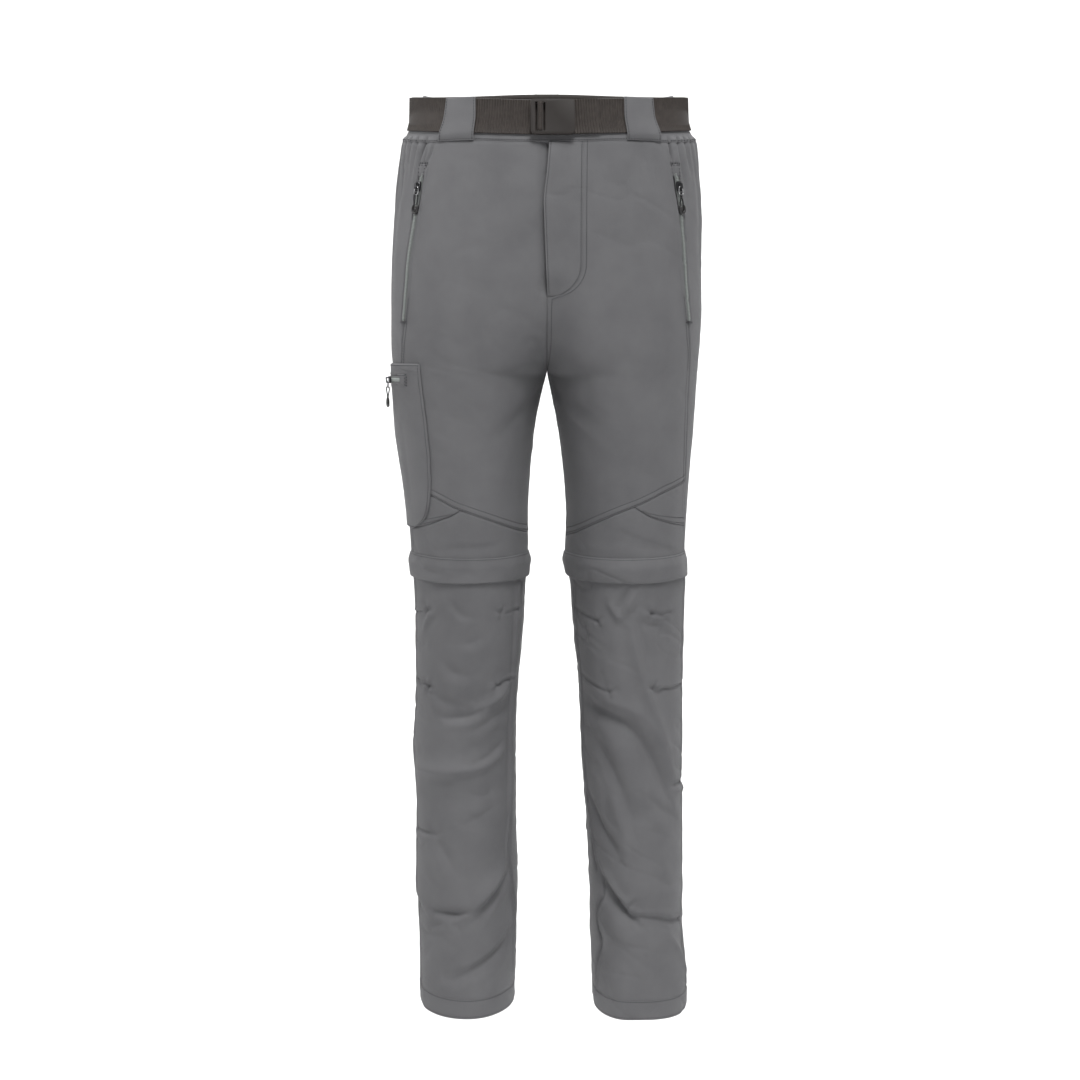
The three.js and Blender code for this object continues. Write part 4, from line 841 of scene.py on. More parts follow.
# Geometry Nodes: copies of one small bar along paths, lying along the path or across it
def rowTree():
    tree = bpy.data.node_groups.new("rowOfBars", "GeometryNodeTree")
    face = tree.interface
    face.new_socket("Geometry", in_out="INPUT", socket_type="NodeSocketGeometry")
    defaults = [("Pitch", "NodeSocketFloat", 0.003), ("Size", "NodeSocketVector", (0.001, 0.0003, 0.0003)),
                ("Lift", "NodeSocketFloat", 0.0), ("Tilt", "NodeSocketFloat", 0.05),
                ("Seed", "NodeSocketInt", 1), ("Sides", "NodeSocketInt", 6),
                ("Material", "NodeSocketMaterial", None)]
    for label, kind, value in defaults:
        item = face.new_socket(label, in_out="INPUT", socket_type=kind)
        if value is not None:
            item.default_value = value
    face.new_socket("Geometry", in_out="OUTPUT", socket_type="NodeSocketGeometry")
    node = nodeMaker(tree)
    given = node("NodeGroupInput").outputs
    path = node("GeometryNodeMeshToCurve", {"Mesh": given["Geometry"]}).outputs["Curve"]
    spaced = node("GeometryNodeResampleCurve", {"Curve": path, "Length": given["Pitch"]}, mode="LENGTH")
    tangent = node("GeometryNodeInputTangent").outputs["Tangent"]
    outward = node("GeometryNodeInputNamedAttribute", {"Name": "outward"}, data_type="FLOAT_VECTOR")
    outward = outward.outputs["Attribute"]
    turn = node("FunctionNodeAlignRotationToVector", {"Vector": tangent}, axis="X").outputs["Rotation"]
    turn = node("FunctionNodeAlignRotationToVector", {"Rotation": turn, "Vector": outward},
                axis="Z", pivot_axis="X").outputs["Rotation"]
    most = node("ShaderNodeCombineXYZ", {axis: given["Tilt"] for axis in "XYZ"}).outputs[0]
    least = node("ShaderNodeVectorMath", {0: most, "Scale": -1}, operation="SCALE").outputs[0]
    jitter = node("FunctionNodeRandomValue", {"Seed": given["Seed"], 0: least, 1: most},
                  data_type="FLOAT_VECTOR").outputs[0]
    jitter = node("FunctionNodeEulerToRotation", {0: jitter}).outputs[0]
    turn = node("FunctionNodeRotateRotation", {"Rotation": turn, "Rotate By": jitter},
                rotation_space="LOCAL").outputs["Rotation"]
    bar = node("GeometryNodeMeshUVSphere", {"Segments": given["Sides"], "Rings": 3, "Radius": 1})
    lying = node("GeometryNodeTransform", {"Geometry": bar.outputs["Mesh"], "Rotation": (0, math.pi / 2, 0)})
    sized = node("GeometryNodeTransform", {"Geometry": lying.outputs["Geometry"], "Scale": given["Size"]})
    lift = node("ShaderNodeVectorMath", {0: outward, "Scale": given["Lift"]}, operation="SCALE").outputs[0]
    moved = node("GeometryNodeSetPosition", {"Geometry": spaced.outputs["Curve"], "Offset": lift})
    copies = node("GeometryNodeInstanceOnPoints", {"Points": moved.outputs["Geometry"], "Rotation": turn,
                                                   "Instance": sized.outputs["Geometry"]})
    real = node("GeometryNodeRealizeInstances", {"Geometry": copies.outputs["Instances"]}).outputs["Geometry"]
    painted = node("GeometryNodeSetMaterial", {"Geometry": real, "Material": given["Material"]})
    node("NodeGroupOutput", {"Geometry": painted.outputs["Geometry"]})
    return tree


rowOfBars = rowTree()


def barsAlong(name, lines, material, bodyName="trousers", slot="cloth", **values):
    # lines are (points, normals) in millimetres; values name the tree's inputs
    verts, edges, outs = [], [], []
    for points, normals in lines:
        start = len(verts)
        verts.extend((points * mm).tolist())
        outs.extend(normals.tolist())
        edges.extend([(start + k, start + k + 1) for k in range(len(points) - 1)])
    paths = bpy.data.meshes.new(name + "Paths")
    paths.from_pydata(verts, edges, [])
    held = paths.attributes.new("outward", "FLOAT_VECTOR", "POINT")
    held.data.foreach_set("vector", np.array(outs, np.float32).ravel())
    item = bpy.data.objects.new(name + "Paths", paths)
    bpy.context.scene.collection.objects.link(item)
    modifier = item.modifiers.new("row", "NODES")
    modifier.node_group = rowOfBars
    inputs = {s.name: s.identifier for s in rowOfBars.interface.items_tree if s.in_out == "INPUT"}
    values["Material"] = materials[material]
    for label, value in values.items():
        modifier[inputs[label]] = value
    made = bpy.data.meshes.new_from_object(item.evaluated_get(bpy.context.evaluated_depsgraph_get()))
    made.name = name
    item.modifiers.remove(modifier)
    bpy.data.objects.remove(item)
    made.shade_smooth()
    result = bpy.data.objects.new(name, made)
    bpy.context.scene.collection.objects.link(result)
    return dress(result, material, bodyName)


# Stitch lines are collected while the pieces are made
stitching = dict(upper=[], lower=[], waist=[], pocket=[])


def runLine(at, spec, edge, distance, ends, lift=0.12):
    # the line at a distance from one edge of a piece
    leg, upright = spec["leg"], edge in ("left", "right")
    run = np.linspace(ends[0], ends[1], 2 + int((spec["tall"] if upright else spec["wide"]) / 3))
    if upright:
        _, _, s, z = at(np.full(run.shape, 0.5), run)
        wide = (spec["right"](z) - spec["left"](z)) * girthAt(leg, z)
        u = distance / wide if edge == "left" else 1 - distance / wide
        points, normals, _, _ = at(u, run, lift)
    else:
        v = distance / spec["tall"]
        v = v if edge == "top" else 1 - v
        points, normals, _, _ = at(run, np.broadcast_to(v, run.shape), lift)
    return points, normals


def clothPiece(name, spec, node=None, group=None, material="cloth"):
    # spec gives the piece's four edges as functions, how each is sewn, its thickness and its stitches
    at = pieceShape(spec)
    leg = spec["leg"]
    middle = 0.5 * (spec["high"] + spec["low"])
    spec["wide"] = float(np.max((spec["right"](middle) - spec["left"](middle)) * girthAt(leg, middle)))
    spec["tall"] = float(spec["high"] - spec["low"])
    pitch = spec.get("pitch", 3.0)
    seams = ("felled", "under", "hemmed", "free", "flush")
    u = spacing(spec["wide"], pitch, spec["forms"][0] in seams, spec["forms"][1] in seams)
    v = spacing(spec["tall"], pitch, spec["forms"][2] in seams, spec["forms"][3] in seams)
    if spec.get("wraps"):
        u = np.linspace(0, 1, int(spec["wide"] / pitch) + 1)[:-1]
    uu, vv = np.meshgrid(u, v)
    outer, _, s, z = at(uu, vv)
    inner, _, _, _ = at(uu, vv, inner=True)
    uv = np.stack([(s - 0.5) * girthAt(leg, z), z], -1)
    item = wallMesh(name, outer, inner, uv, spec.get("wraps", False))
    dress(item, material, nodes=[node] if node else [])
    # the smooth body under the folds at the piece's points; nothing uses it further
    base = onGrid(surfaces[leg]["grid"], s, z)
    if spec.get("wraps"):
        base = np.concatenate([base, base[:, :1]], axis=1)
    for edge, distance, ends in spec.get("stitches", []):
        stitching[group].append(runLine(at, spec, edge, distance, ends))
    return item


def constant(value):
    return lambda x: np.full(np.shape(x), float(value))


def curve(table):
    return lambda s: follow(table, s)


def sideOf(leg):
    return lambda z: sideSeam(leg, z)


def felledRows(edge, first, second):
    # both rows beside a felled seam, with the share of the edge that each runs along
    return [(edge, seamRows["first"], first), (edge, seamRows["second"], second)]


def flyEdge(z):
    # how far the fly reaches from the middle: straight, then a quarter round
    t = np.clip((cut["flyStraightEnd"] - z) / (cut["flyStraightEnd"] - cut["flyEnd"]), 0, 1)
    return cut["flyWidth"] * np.sqrt(1 - t * t)


def zipLips(leg):
    # welt lips beside the hand pocket's zip, along the side seam; the right front sinks beside the fly
    def off(s, z, across, along):
        away = np.abs(s - sideSeam(leg, z)) * girthAt(leg, z)
        run = smooth((-z - 90) / 5) * (1 - smooth((-z - 258) / 6))
        lip = 1.5 * np.exp(-(((away - 6.2) / 1.5) ** 2)) - 1.9 * (1 - smooth((away - 3.6) / 1.6))
        sunk = 0
        if leg == "right":
            sunk = -3.0 * fall(s * girthAt(leg, z), 14) * (1 - smooth((-z - 225) / 12))
        return lip * run + sunk
    return off


def besideFly(z):
    return np.where(z > cut["flyEnd"], flyEdge(z) / girthAt("left", z), 0)


wedgeTip = 0.2505
waistEdge, zero, one = constant(cut["waistNominal"]), constant(0), constant(1)
kneeEdge = constant(cut["kneeEdge"])


def upperLegs():
    for leg in sideSign:
        title = leg.capitalize()
        knee, wedge, side = curve(cut["kneeSeam"][leg]), curve(cut["wedgeSeam"][leg]), sideOf(leg)
        upper = dict(leg=leg, top=waistEdge, high=cut["waistNominal"], warp=upperWarp, thick=1.3, pitch=3.2,
                     off=zipLips(leg), restsOn=["waistBand"])
        insert = dict(leg=leg, right=side, thick=1.2, pitch=2.6, restsOn=["front" + title])
        inner, frontForm = zero, "under"
        rows = felledRows("right", (0.46, 1), (0.46, 1)) + felledRows("bottom", (0, 1), (0.03, 1))
        backForm, backRows = "under", []
        if leg == "left":
            # the left front starts at the fly, and the left back laps over the seat seam
            inner, frontForm = besideFly, "flush"
            rows += [("left", 4.6, (0, 1))]
            backForm, backRows = "felled", felledRows("right", (0, 0.97), (0, 0.97))
        clothPiece("front" + title, dict(
            upper, left=inner, right=side, bottom=knee, low=-470,
            forms=(frontForm, "felled", "flush", "felled"), stitches=rows), "front_" + leg, "upper")
        clothPiece("back" + title, dict(
            upper, left=side, right=one, bottom=kneeEdge, low=cut["kneeEdge"],
            forms=("under", backForm, "flush", "tucked"), stitches=backRows), "back_" + leg, "upper")
        clothPiece("sideWedge" + title, dict(
            insert, left=constant(wedgeTip), top=knee, bottom=wedge, high=-445, low=-488,
            forms=("plain", "felled", "under", "felled"),
            stitches=felledRows("bottom", (0.03, 1), (0.12, 1))), "side_wedge_" + leg, "upper")
        clothPiece("kneePanel" + title, dict(
            insert, left=zero, top=lambda s: np.minimum(knee(s), wedge(s)), bottom=kneeEdge, high=-480,
            low=cut["kneeEdge"], forms=("under", "felled", "under", "tucked"),
            stitches=[("right", seamRows["first"], (0, 0.8))]), "knee_panel_" + leg, "upper")


upperLegs()
print("stage: upper legs made")


flySet = dict(
    edge=[[-50, 2], [-90, -1], [-128, -4], [-180, -2.4], [-234, 0]],  # height and how far over the middle
    proud=4.0,
    bend=15,
    shield=(-5, 16),
    shieldOff=-5.5,
)


def flyPiece():
    # the edge wanders a little over the middle, stands proud and is stitched down beside its curve
    def edge(z):
        return follow(flySet["edge"], z) / girthAt("left", z)

    def off(s, z, across, along):
        free = (1 - smooth((-z - 208) / 24)) * smooth((-z - 54) / 26)
        return 0.15 + flySet["proud"] * np.exp(-((across[0] / flySet["bend"]) ** 2)) * free

    clothPiece("flyFlap", dict(
        leg="left", left=edge, right=lambda z: flyEdge(z) / girthAt("left", z), top=waistEdge,
        bottom=constant(cut["flyEnd"] + 0.6), high=cut["waistNominal"], low=-233, warp=upperWarp,
        clamped=False, off=off, forms=("free", "flush", "flush", "under"), thick=1.3, pitch=2.6,
        restsOn=["frontLeft"],
        stitches=[("right", 1.4, (0, 0.985)), ("left", 2.2, (0, 0.97))],
    ), "fly", "upper")
    # the cloth that shows in the slit beside the fly
    low, high = flySet["shield"]
    clothPiece("flyShield", dict(
        leg="left", left=lambda z: low / girthAt("left", z), right=lambda z: high / girthAt("left", z),
        top=waistEdge, bottom=constant(cut["flyEnd"] + 9), high=cut["waistNominal"], low=-225, warp=upperWarp,
        clamped=False, off=flySet["shieldOff"], forms=("plain",) * 4, thick=1.0, pitch=3.2,
        restsOn=["frontRight"],
    ), group="upper")


flyPiece()


def lowerLegs():
    seam = cut["hemNominal"] + cut["hemHeight"]
    for leg in sideSign:
        title, side = leg.capitalize(), sideOf(leg)
        shared = dict(leg=leg, top=constant(cut["lowerTop"]), bottom=constant(seam), high=cut["lowerTop"],
                      low=seam, warp=lowerWarp(leg), forms=("under", "felled", "tucked", "flush"), thick=1.2,
                      restsOn=["kneeZip" + title])
        clothPiece("lowerFront" + title, dict(
            shared, left=zero, right=side, pitch=2.3, stitches=felledRows("right", (0, 1), (0, 1))),
            "lower_front_" + leg, "lower")
        clothPiece("lowerBack" + title, dict(
            shared, left=side, right=one, pitch=2.7, stitches=[("right", seamRows["first"], (0, 1))]),
            "lower_back_" + leg, "lower")
        clothPiece("hem" + title, dict(
            shared, left=zero, right=one, top=constant(seam), bottom=constant(cut["hemNominal"]), high=seam,
            low=cut["hemNominal"], forms=("plain", "plain", "flush", "free"), thick=2.0, off=0.15, pitch=2.3,
            wraps=True, stitches=[("top", 1.6, (0, 1)), ("bottom", 2.4, (0, 1))],
            restsOn=["lowerFront" + title]), "hem_" + leg, "lower")


lowerLegs()
print("stage: lower legs made")


kneeSet = dict(girth=470, flapTop=-521, flapWave=1.2, zipEnd=-539.7, teethZ=-535.3)


def flapOff(shift):
    # stands off more towards its lower edge, with a slow wave and a finer ripple
    def off(s, z, across, along):
        down = along[0] / (along[0] + along[1])
        around = s * kneeSet["girth"]
        wave = softNoise(np.stack([around, z * 0 + shift, z * 0], -1), (34, 1, 1), shift)
        ripple = softNoise(np.stack([around, z, z * 0], -1), (13, 9, 1), shift + 1.7)
        bulge = np.sin(math.pi * np.clip(down, 0, 1)) ** 0.7
        return 0.9 + 2.4 * smooth(down / 0.45) + 1.5 * wave * bulge + 0.45 * ripple * smooth(down * 3)
    return off


def flapTop(shift):
    return lambda s: kneeSet["flapTop"] + kneeSet["flapWave"] * np.sin(4 * math.pi * s + shift)


def knees():
    for leg, shift in (("right", 2.0), ("left", 8.0)):
        title = leg.capitalize()
        ring = dict(leg=leg, left=zero, right=one, wraps=True)
        clothPiece("kneeFlap" + title, dict(
            ring, top=flapTop(shift), bottom=curve(cut["flapDrop"]), high=kneeSet["flapTop"], low=-549,
            forms=("plain", "plain", "hemmed", "free"), thick=1.5, floor=0.5, off=flapOff(shift), pitch=2.2,
            pucker=0.5, stitches=[("top", 1.8, (0, 1))], restsOn=["front" + title]),
            "knee_flap_" + leg, "upper")
        clothPiece("kneeZip" + title, dict(
            ring, top=kneeEdge, bottom=constant(kneeSet["zipEnd"]), high=cut["kneeEdge"],
            low=kneeSet["zipEnd"], forms=("plain",) * 4, thick=1.4, off=-0.4, pitch=3.2,
            restsOn=["kneePanel" + title]),
            "knee_zip_" + leg, material="tape")
        path = skin(leg, np.linspace(0, 1, 160), kneeSet["teethZ"], 0.0)
        barsAlong("kneeTeeth" + title, [path], "coil", slot="zip_tape", Pitch=1.7 * mm,
                  Size=(0.5 * mm, 1.7 * mm, 0.6 * mm), Lift=0.1 * mm, Tilt=0.02, Sides=6)


knees()
print("stage: knees made")


# The waist: a ring by turn, 0 to 1 the left half from the front, 1 to 2 the right half back again
def roundWaist(turn, z, off):
    turn, z, off = np.broadcast_arrays(*(np.asarray(x, float) for x in (turn, z, off)))
    q = np.mod(turn, 2)
    left = q <= 1
    where = np.where(left, q, 2 - q)
    points = np.empty(q.shape + (3,))
    normals = np.empty(q.shape + (3,))
    for leg, mask in (("left", left), ("right", ~left)):
        if mask.any():
            found = skin(leg, where[mask], z[mask], off[mask], shaped=False, clamped=False)
            points[mask], normals[mask] = found
    return points, normals


def shareOf(turn):
    q = np.mod(turn, 2)
    return np.where(q <= 1, q, 2 - q)


def turnAtX(x):
    shares = np.linspace(0, 0.5, 400)
    leg = "left" if x > 0 else "right"
    xs = np.abs(onGrid(surfaces[leg]["grid"], shares, np.full(shares.shape, -40.0))[:, 0])
    where = float(np.interp(abs(x), xs, shares))
    return where if x > 0 else -where


waistSet = dict(
    drop=0.7, height=37.4, beltOff=0.95, beltThick=1.7, overBelt=0.6, ribPitch=2.9, ribHeight=1.1,
    foldX=55, startX=26, endX=-1, bandStep=2.2, bandThick=2.0, bandStitch=0.955,
)


def waistWave(turn, z):
    # the gathers of the band's lowest edge, as those of the panels under it
    s = shareOf(turn)
    base, _ = roundWaist(turn, z, 0 * turn)
    return elasticSpan(s) * (2.3 * gatherWave(s, gatherWander(base)) + 0.6), base


def waistband():
    turns = np.arange(0, 2, waistSet["bandStep"] / halfGirth)
    levels = np.concatenate([np.linspace(0, 0.84, 10)[:-1], np.linspace(0.84, 1, 10)])
    tt, vv = np.meshgrid(turns, levels)
    s = shareOf(tt)
    z = waistTop(s) - vv * waistTall(s)
    wave, base = waistWave(tt, z)
    low = smooth((vv - 0.84) / 0.12)
    off = low * (wave + 0.25 * softNoise(base, (9, 9, 9), 6.1))
    edge = (1 - vv) * cut["waistHeight"]
    off += 0.25 + groove(edge, 0, 1.0, 0.7) + groove(vv, 0, 0.012, 0.6)
    outer, _ = roundWaist(tt, z, off)
    inner, _ = roundWaist(tt, z, off - waistSet["bandThick"])
    item = wallMesh("waistBand", outer, inner, np.stack([tt * halfGirth, z], -1), wraps=True)
    dress(item, "cloth", nodes=["waistband"])
    # faces that look inwards get the dark brown, painted shade inside the waistband
    item.data.materials.append(materials["insideShade"])
    for face in item.data.polygons:
        middle, facing = face.center, face.normal
        if middle.x * facing.x + middle.y * facing.y < 0:
            face.material_index = 1
    around = np.linspace(0, 2, 500)
    s = shareOf(around)
    z = waistTop(s) - waistSet["bandStitch"] * waistTall(s)
    stitching["waist"].append(roundWaist(around, z, 0.4 + waistWave(around, z)[0]))


def belt():
    # one length round the waist and a shorter one doubled back over its start
    b = waistSet
    start, end, fold = turnAtX(b["startX"]), 2 + turnAtX(b["endX"]), turnAtX(b["foldX"])

    def strap(first, last, low, thick):
        turns = np.arange(first, last, b["ribPitch"] / 5 / halfGirth)
        around = turns * halfGirth
        levels = [(0, 0), (0, 0.8), (0.02, 1), (0.26, 1), (0.5, 1), (0.74, 1), (0.98, 1), (1, 0.8), (1, 0),
                  (0.98, -0.15), (0.02, -0.15)]
        rings = []
        sway = 0.35 * softNoise(np.stack([around, turns * 0, turns * 0], -1), (60, 1, 1), 9.4)
        ribs = b["ribHeight"] * (0.5 * np.cos(2 * math.pi * around / b["ribPitch"]) - 0.5)
        for drop, rise in levels:
            z = waistTop(shareOf(turns)) - b["drop"] - drop * b["height"]
            off = low + max(rise, 0) * thick + sway + (ribs if rise == 1 else 0)
            rings.append(roundWaist(turns, z + 0.4 * sway, off)[0])
        return np.stack(rings, 1)

    faces, verts = [], []
    for first, last, low in ((start, end, b["beltOff"]), (start, fold, b["beltOff"] + b["beltThick"] + 0.15)):
        rings = strap(first, last, low, b["beltThick"])
        count, n = rings.shape[0], rings.shape[1]
        base = len(verts)
        verts.extend((rings.reshape(-1, 3) * mm).tolist())
        for i in range(count - 1):
            for k in range(n):
                a, c = base + i * n + k, base + i * n + (k + 1) % n
                faces.append((a, c, c + n, a + n))
        faces.append([base + k for k in range(n)])
        faces.append([base + (count - 1) * n + k for k in range(n)])
    made = bpy.data.meshes.new("beltStrap")
    made.from_pydata(verts, [], faces)
    item = dress(finished("beltStrap", made), "webbing", nodes=["belt"])
    applyAll(item)


def bevelEdges(item, angle, width, segments):
    bevel = item.modifiers.new("bevel", "BEVEL")
    bevel.width, bevel.segments = width * mm, segments
    bevel.limit_method, bevel.angle_limit = "ANGLE", math.radians(angle)
    applyAll(item)


def applyAll(item):
    made = bpy.data.meshes.new_from_object(item.evaluated_get(bpy.context.evaluated_depsgraph_get()))
    made.name = item.name
    item.modifiers.clear()
    item.data = made
    return item


def fromNode(name, node, width, angle=25, segments=3):
    # the solid's own mesh, merged, with its flat faces rejoined and its edges rounded
    made = frame["nodes"][node].data.copy()
    work = bmesh.new()
    work.from_mesh(made)
    bmesh.ops.remove_doubles(work, verts=work.verts, dist=0.00001)
    bmesh.ops.dissolve_limit(work, angle_limit=math.radians(2), verts=work.verts, edges=work.edges)
    work.to_mesh(made)
    work.free()
    item = finished(name, made)
    item.data.materials.clear()
    bevelEdges(item, angle, width, segments)
    item.data.shade_smooth()
    return item


waistband()
belt()
print("stage: waist made")


# node, leg, share, width at the top and at the foot
loopRows = [
    ["loop_front_right", "right", 0.222, 36, 42],
    ["loop_front_left", "left", 0.232, 36, 40],
    ["loop_back_right", "right", 0.66, 30, 32],
    ["loop_back_left", "left", 0.66, 30, 32],
    ["loop_back_middle", "left", 1, 30, 32],
]


loopSet = dict(thick=1.3, height=47, stitchIn=1.8, tackDrop=45.6)


def beltLoops():
    b = waistSet
    over = b["beltOff"] + b["beltThick"] + b["overBelt"] + 0.35
    # height from the loop's top and distance from the waistband, from behind the belt round to the foot
    profile = [(-6, 0.35), (-2.5, 0.5), (-0.6, 1.0), (0.2, 2.0), (0.1, over - 0.4), (-0.8, over + 0.35),
               (-2.6, over + 0.5), (-8, over + 0.35), (-16, over + 0.55), (-26, over + 0.6),
               (-35, over + 0.5), (-40, over + 0.2), (-42.4, over - 0.6), (-44, 2.2), (-45.3, 1.5),
               (-47, 1.3)]
    fine, knots = np.linspace(0, 1, 56), np.linspace(0, 1, len(profile))
    drops, offs = (np.interp(fine, knots, column) for column in zip(*profile))
    kernel = np.array([1, 2, 3, 2, 1]) / 9
    for line in (drops, offs):
        line[2:-2] = np.convolve(line, kernel, "valid")
    u = np.array([0, 0.012, 0.03, 0.045, 0.07, *np.linspace(0.12, 0.88, 14), 0.93, 0.955, 0.97, 0.988, 1])
    uu, dd = np.meshgrid(u, drops)
    oo = np.broadcast_to(offs[:, None], uu.shape)
    for number, (node, leg, share, top, bottom) in enumerate(loopRows):
        name = "".join(part.capitalize() if k else part for k, part in enumerate(node.split("_")))
        middle = share if leg == "left" else 2 - share
        width = top + (bottom - top) * np.clip(-dd / loopSet["height"], 0, 1)
        turn = middle + (uu - 0.5) * width / halfGirth
        side = np.minimum(uu, 1 - uu) * width
        bend = 0.3 * softNoise(np.stack([uu * 36, dd, 0 * dd + number * 5], -1), (14, 16, 1), 2.2)
        edge = 0.25 * smooth(side / 1.2) + groove(side, 1.8, 0.5, 0.16)
        z = waistTop(share) + dd
        outer, facing = roundWaist(turn, z, oo + bend + edge)
        # the wall follows the profile's own normal
        normal = np.cross(np.gradient(outer, axis=0), np.gradient(outer, axis=1))
        normal /= np.linalg.norm(normal, axis=2, keepdims=True)
        flip = np.sign((normal[30] * facing[30]).sum(-1).mean())
        item = wallMesh(name, outer, outer - flip * loopSet["thick"] * normal, np.stack([uu * width, dd], -1))
        dress(item, "cloth", nodes=[node])
        for sign in (-1, 1):
            t = middle + sign * (0.5 * width[:, 0] - loopSet["stitchIn"]) / halfGirth
            points, normals = roundWaist(t, waistTop(share) + drops, offs + 0.35)
            stitching["waist"].append((points[10:50], normals[10:50]))
        t = middle + np.linspace(-0.45, 0.45, 12) * bottom / halfGirth
        stitching["waist"].append(roundWaist(t, waistTop(share) - loopSet["tackDrop"], 1.95))


beltLoops()


wrapSet = dict(left=-10.6, right=-4.8, off=4.2, bulge=1.6, thick=1.1, ribOff=5.75)


def buckle():
    item = fromNode("buckleCase", "buckle", 0.9, 30, 4)
    dress(item, "buckle", nodes=["buckle"])
    # the webbing that shows round the bar between the two slots
    b = waistSet
    base = b["beltOff"] + 2 * b["beltThick"] + b["overBelt"]
    turns = np.linspace(turnAtX(wrapSet["left"]), turnAtX(wrapSet["right"]), 14)
    levels = np.linspace(0.08, 0.92, 20)
    tt, vv = np.meshgrid(turns, levels)
    z = waistTop(shareOf(tt)) - b["drop"] - vv * b["height"]
    over = np.sin(math.pi * (tt - turns[0]) / (turns[-1] - turns[0])) ** 0.6
    off = base + wrapSet["off"] + wrapSet["bulge"] * over
    outer, _ = roundWaist(tt, z, off)
    inner, _ = roundWaist(tt, z, off - wrapSet["thick"])
    dress(wallMesh("buckleWrap", outer, inner, np.stack([tt * halfGirth, z], -1)), "webbing")
    ribs = [roundWaist(turns[k] + 0 * levels, z[:, k], base + wrapSet["ribOff"]) for k in range(2, 12, 3)]
    barsAlong("buckleWrapRibs", ribs, "webbing", slot="webbing", Pitch=2.0 * mm,
              Size=(0.9 * mm, 0.5 * mm, 0.35 * mm), Lift=0.0, Tilt=0.05, Sides=6)


buckle()
print("stage: belt loops and buckle made")


# Thigh pocket: height, then how far its edges lie in front of and behind the widest point
pocketSet = dict(
    edges=[[-306, 103, 99], [-368, 101, 101], [-432, 92, 97], [-460, 84, 92], [-476, 75, 85], [-486, 60, 74],
           [-491.5, 40, 56]],
    top=-306, bottom=-491.5, zipZ=-324, zipStart=0.4, zipEnd=0.61,
)


def pocketBulge(s, z):
    return 3.5 * fall(np.abs(s - 0.49), 0.18) * fall(np.abs(z + 405), 90)


def pocketOff(s, z, across, along):
    # stands off the leg, with a trench for the zip and a lip on both sides of it
    nearest = np.minimum(np.minimum(*across), np.minimum(*along))
    aside = z - pocketSet["zipZ"]
    start, end = pocketSet["zipStart"], pocketSet["zipEnd"]
    trench = groove(aside, 0, 3.2, 1.0) * smooth((s - start + 0.005) / 0.01) * (1 - smooth((s - end) / 0.01))
    lips = groove(np.abs(aside), 5.6, 1.5, -0.8)
    lips = lips * smooth((s - start + 0.015) / 0.01) * (1 - smooth((s - end - 0.01) / 0.01))
    return 1.3 + 1.5 * smooth(nearest / 1.6) + pocketBulge(s, z) + trench + lips


def cargoPocket():
    edges = pocketSet["edges"]
    clothPiece("cargoPocket", dict(
        leg="right", left=lambda z: shareAhead("right", z, follow(edges, z, 1)),
        right=lambda z: shareAhead("right", z, -follow(edges, z, 2)), top=constant(pocketSet["top"]),
        bottom=constant(pocketSet["bottom"]), high=pocketSet["top"], low=pocketSet["bottom"],
        forms=("free",) * 4, thick=1.2, floor=0.55, off=pocketOff, pitch=2.6, restsOn=["frontRight"],
        stitches=[("left", 2.2, (0, 1)), ("right", 2.2, (0, 1)), ("top", 2.2, (0.01, 0.99)),
                  ("bottom", 2.2, (0, 1))],
    ), "cargo_pocket", "pocket")


cargoPocket()
print("stage: thigh pocket made")


# Zips: tape, coil and a small patch that hides the slider's end
zipSet = dict(top=-98, bottom=-258, tapeHalf=3.9, tapeThick=0.7, patchHalf=5.2, patchTop=-87.5,
              patchBottom=-101.5, tackHalf=6.5, tackLevels=(-86.5, -260.5))
coilLook = dict(Pitch=1.5 * mm, Size=(0.55 * mm, 2.7 * mm, 0.6 * mm), Lift=0.85 * mm, Tilt=0.03, Sides=6)


def zipAlong(name, teeth, path, node):
    # the tape is a strip across the path, and the coil lies on it
    points, normals = path
    forward = np.gradient(points, axis=0)
    forward /= np.linalg.norm(forward, axis=1, keepdims=True)
    across = np.cross(normals, forward)
    offsets = np.array([-1, -0.9, -0.5, -0.25, 0, 0.25, 0.5, 0.9, 1]) * zipSet["tapeHalf"]
    crown = np.array([0.2, 0.75, 0.85, 1, 1, 1, 0.85, 0.75, 0.2]) * zipSet["tapeThick"]
    inner = points[:, None] + across[:, None] * offsets[None, :, None]
    outer = inner + normals[:, None] * crown[None, :, None]
    uv = np.stack(np.broadcast_arrays(offsets[None, :], np.arange(len(points))[:, None] * 2.0), -1)
    dress(wallMesh(name, outer, inner, uv), "tape", nodes=[node])
    barsAlong(teeth, [path], "coil", slot="zip_tape", **coilLook)


def patch(name, leg, s0, s1, z0, z1, off, rests):
    thick = 0.9

    def raised(s, z, across, along):
        return off + 0.7 * smooth(np.minimum(np.minimum(*across), np.minimum(*along)) / 1.4)

    clothPiece(name, dict(
        leg=leg, left=constant(s0), right=constant(s1), top=constant(z0), bottom=constant(z1), high=z0,
        low=z1, forms=("free",) * 4, thick=thick, floor=off - thick, off=raised, pitch=1.6, pucker=0.1,
        restsOn=[rests],
        stitches=[(edge, 1.2, (0.08, 0.92)) for edge in ("left", "right", "top")],
    ), group="pocket")


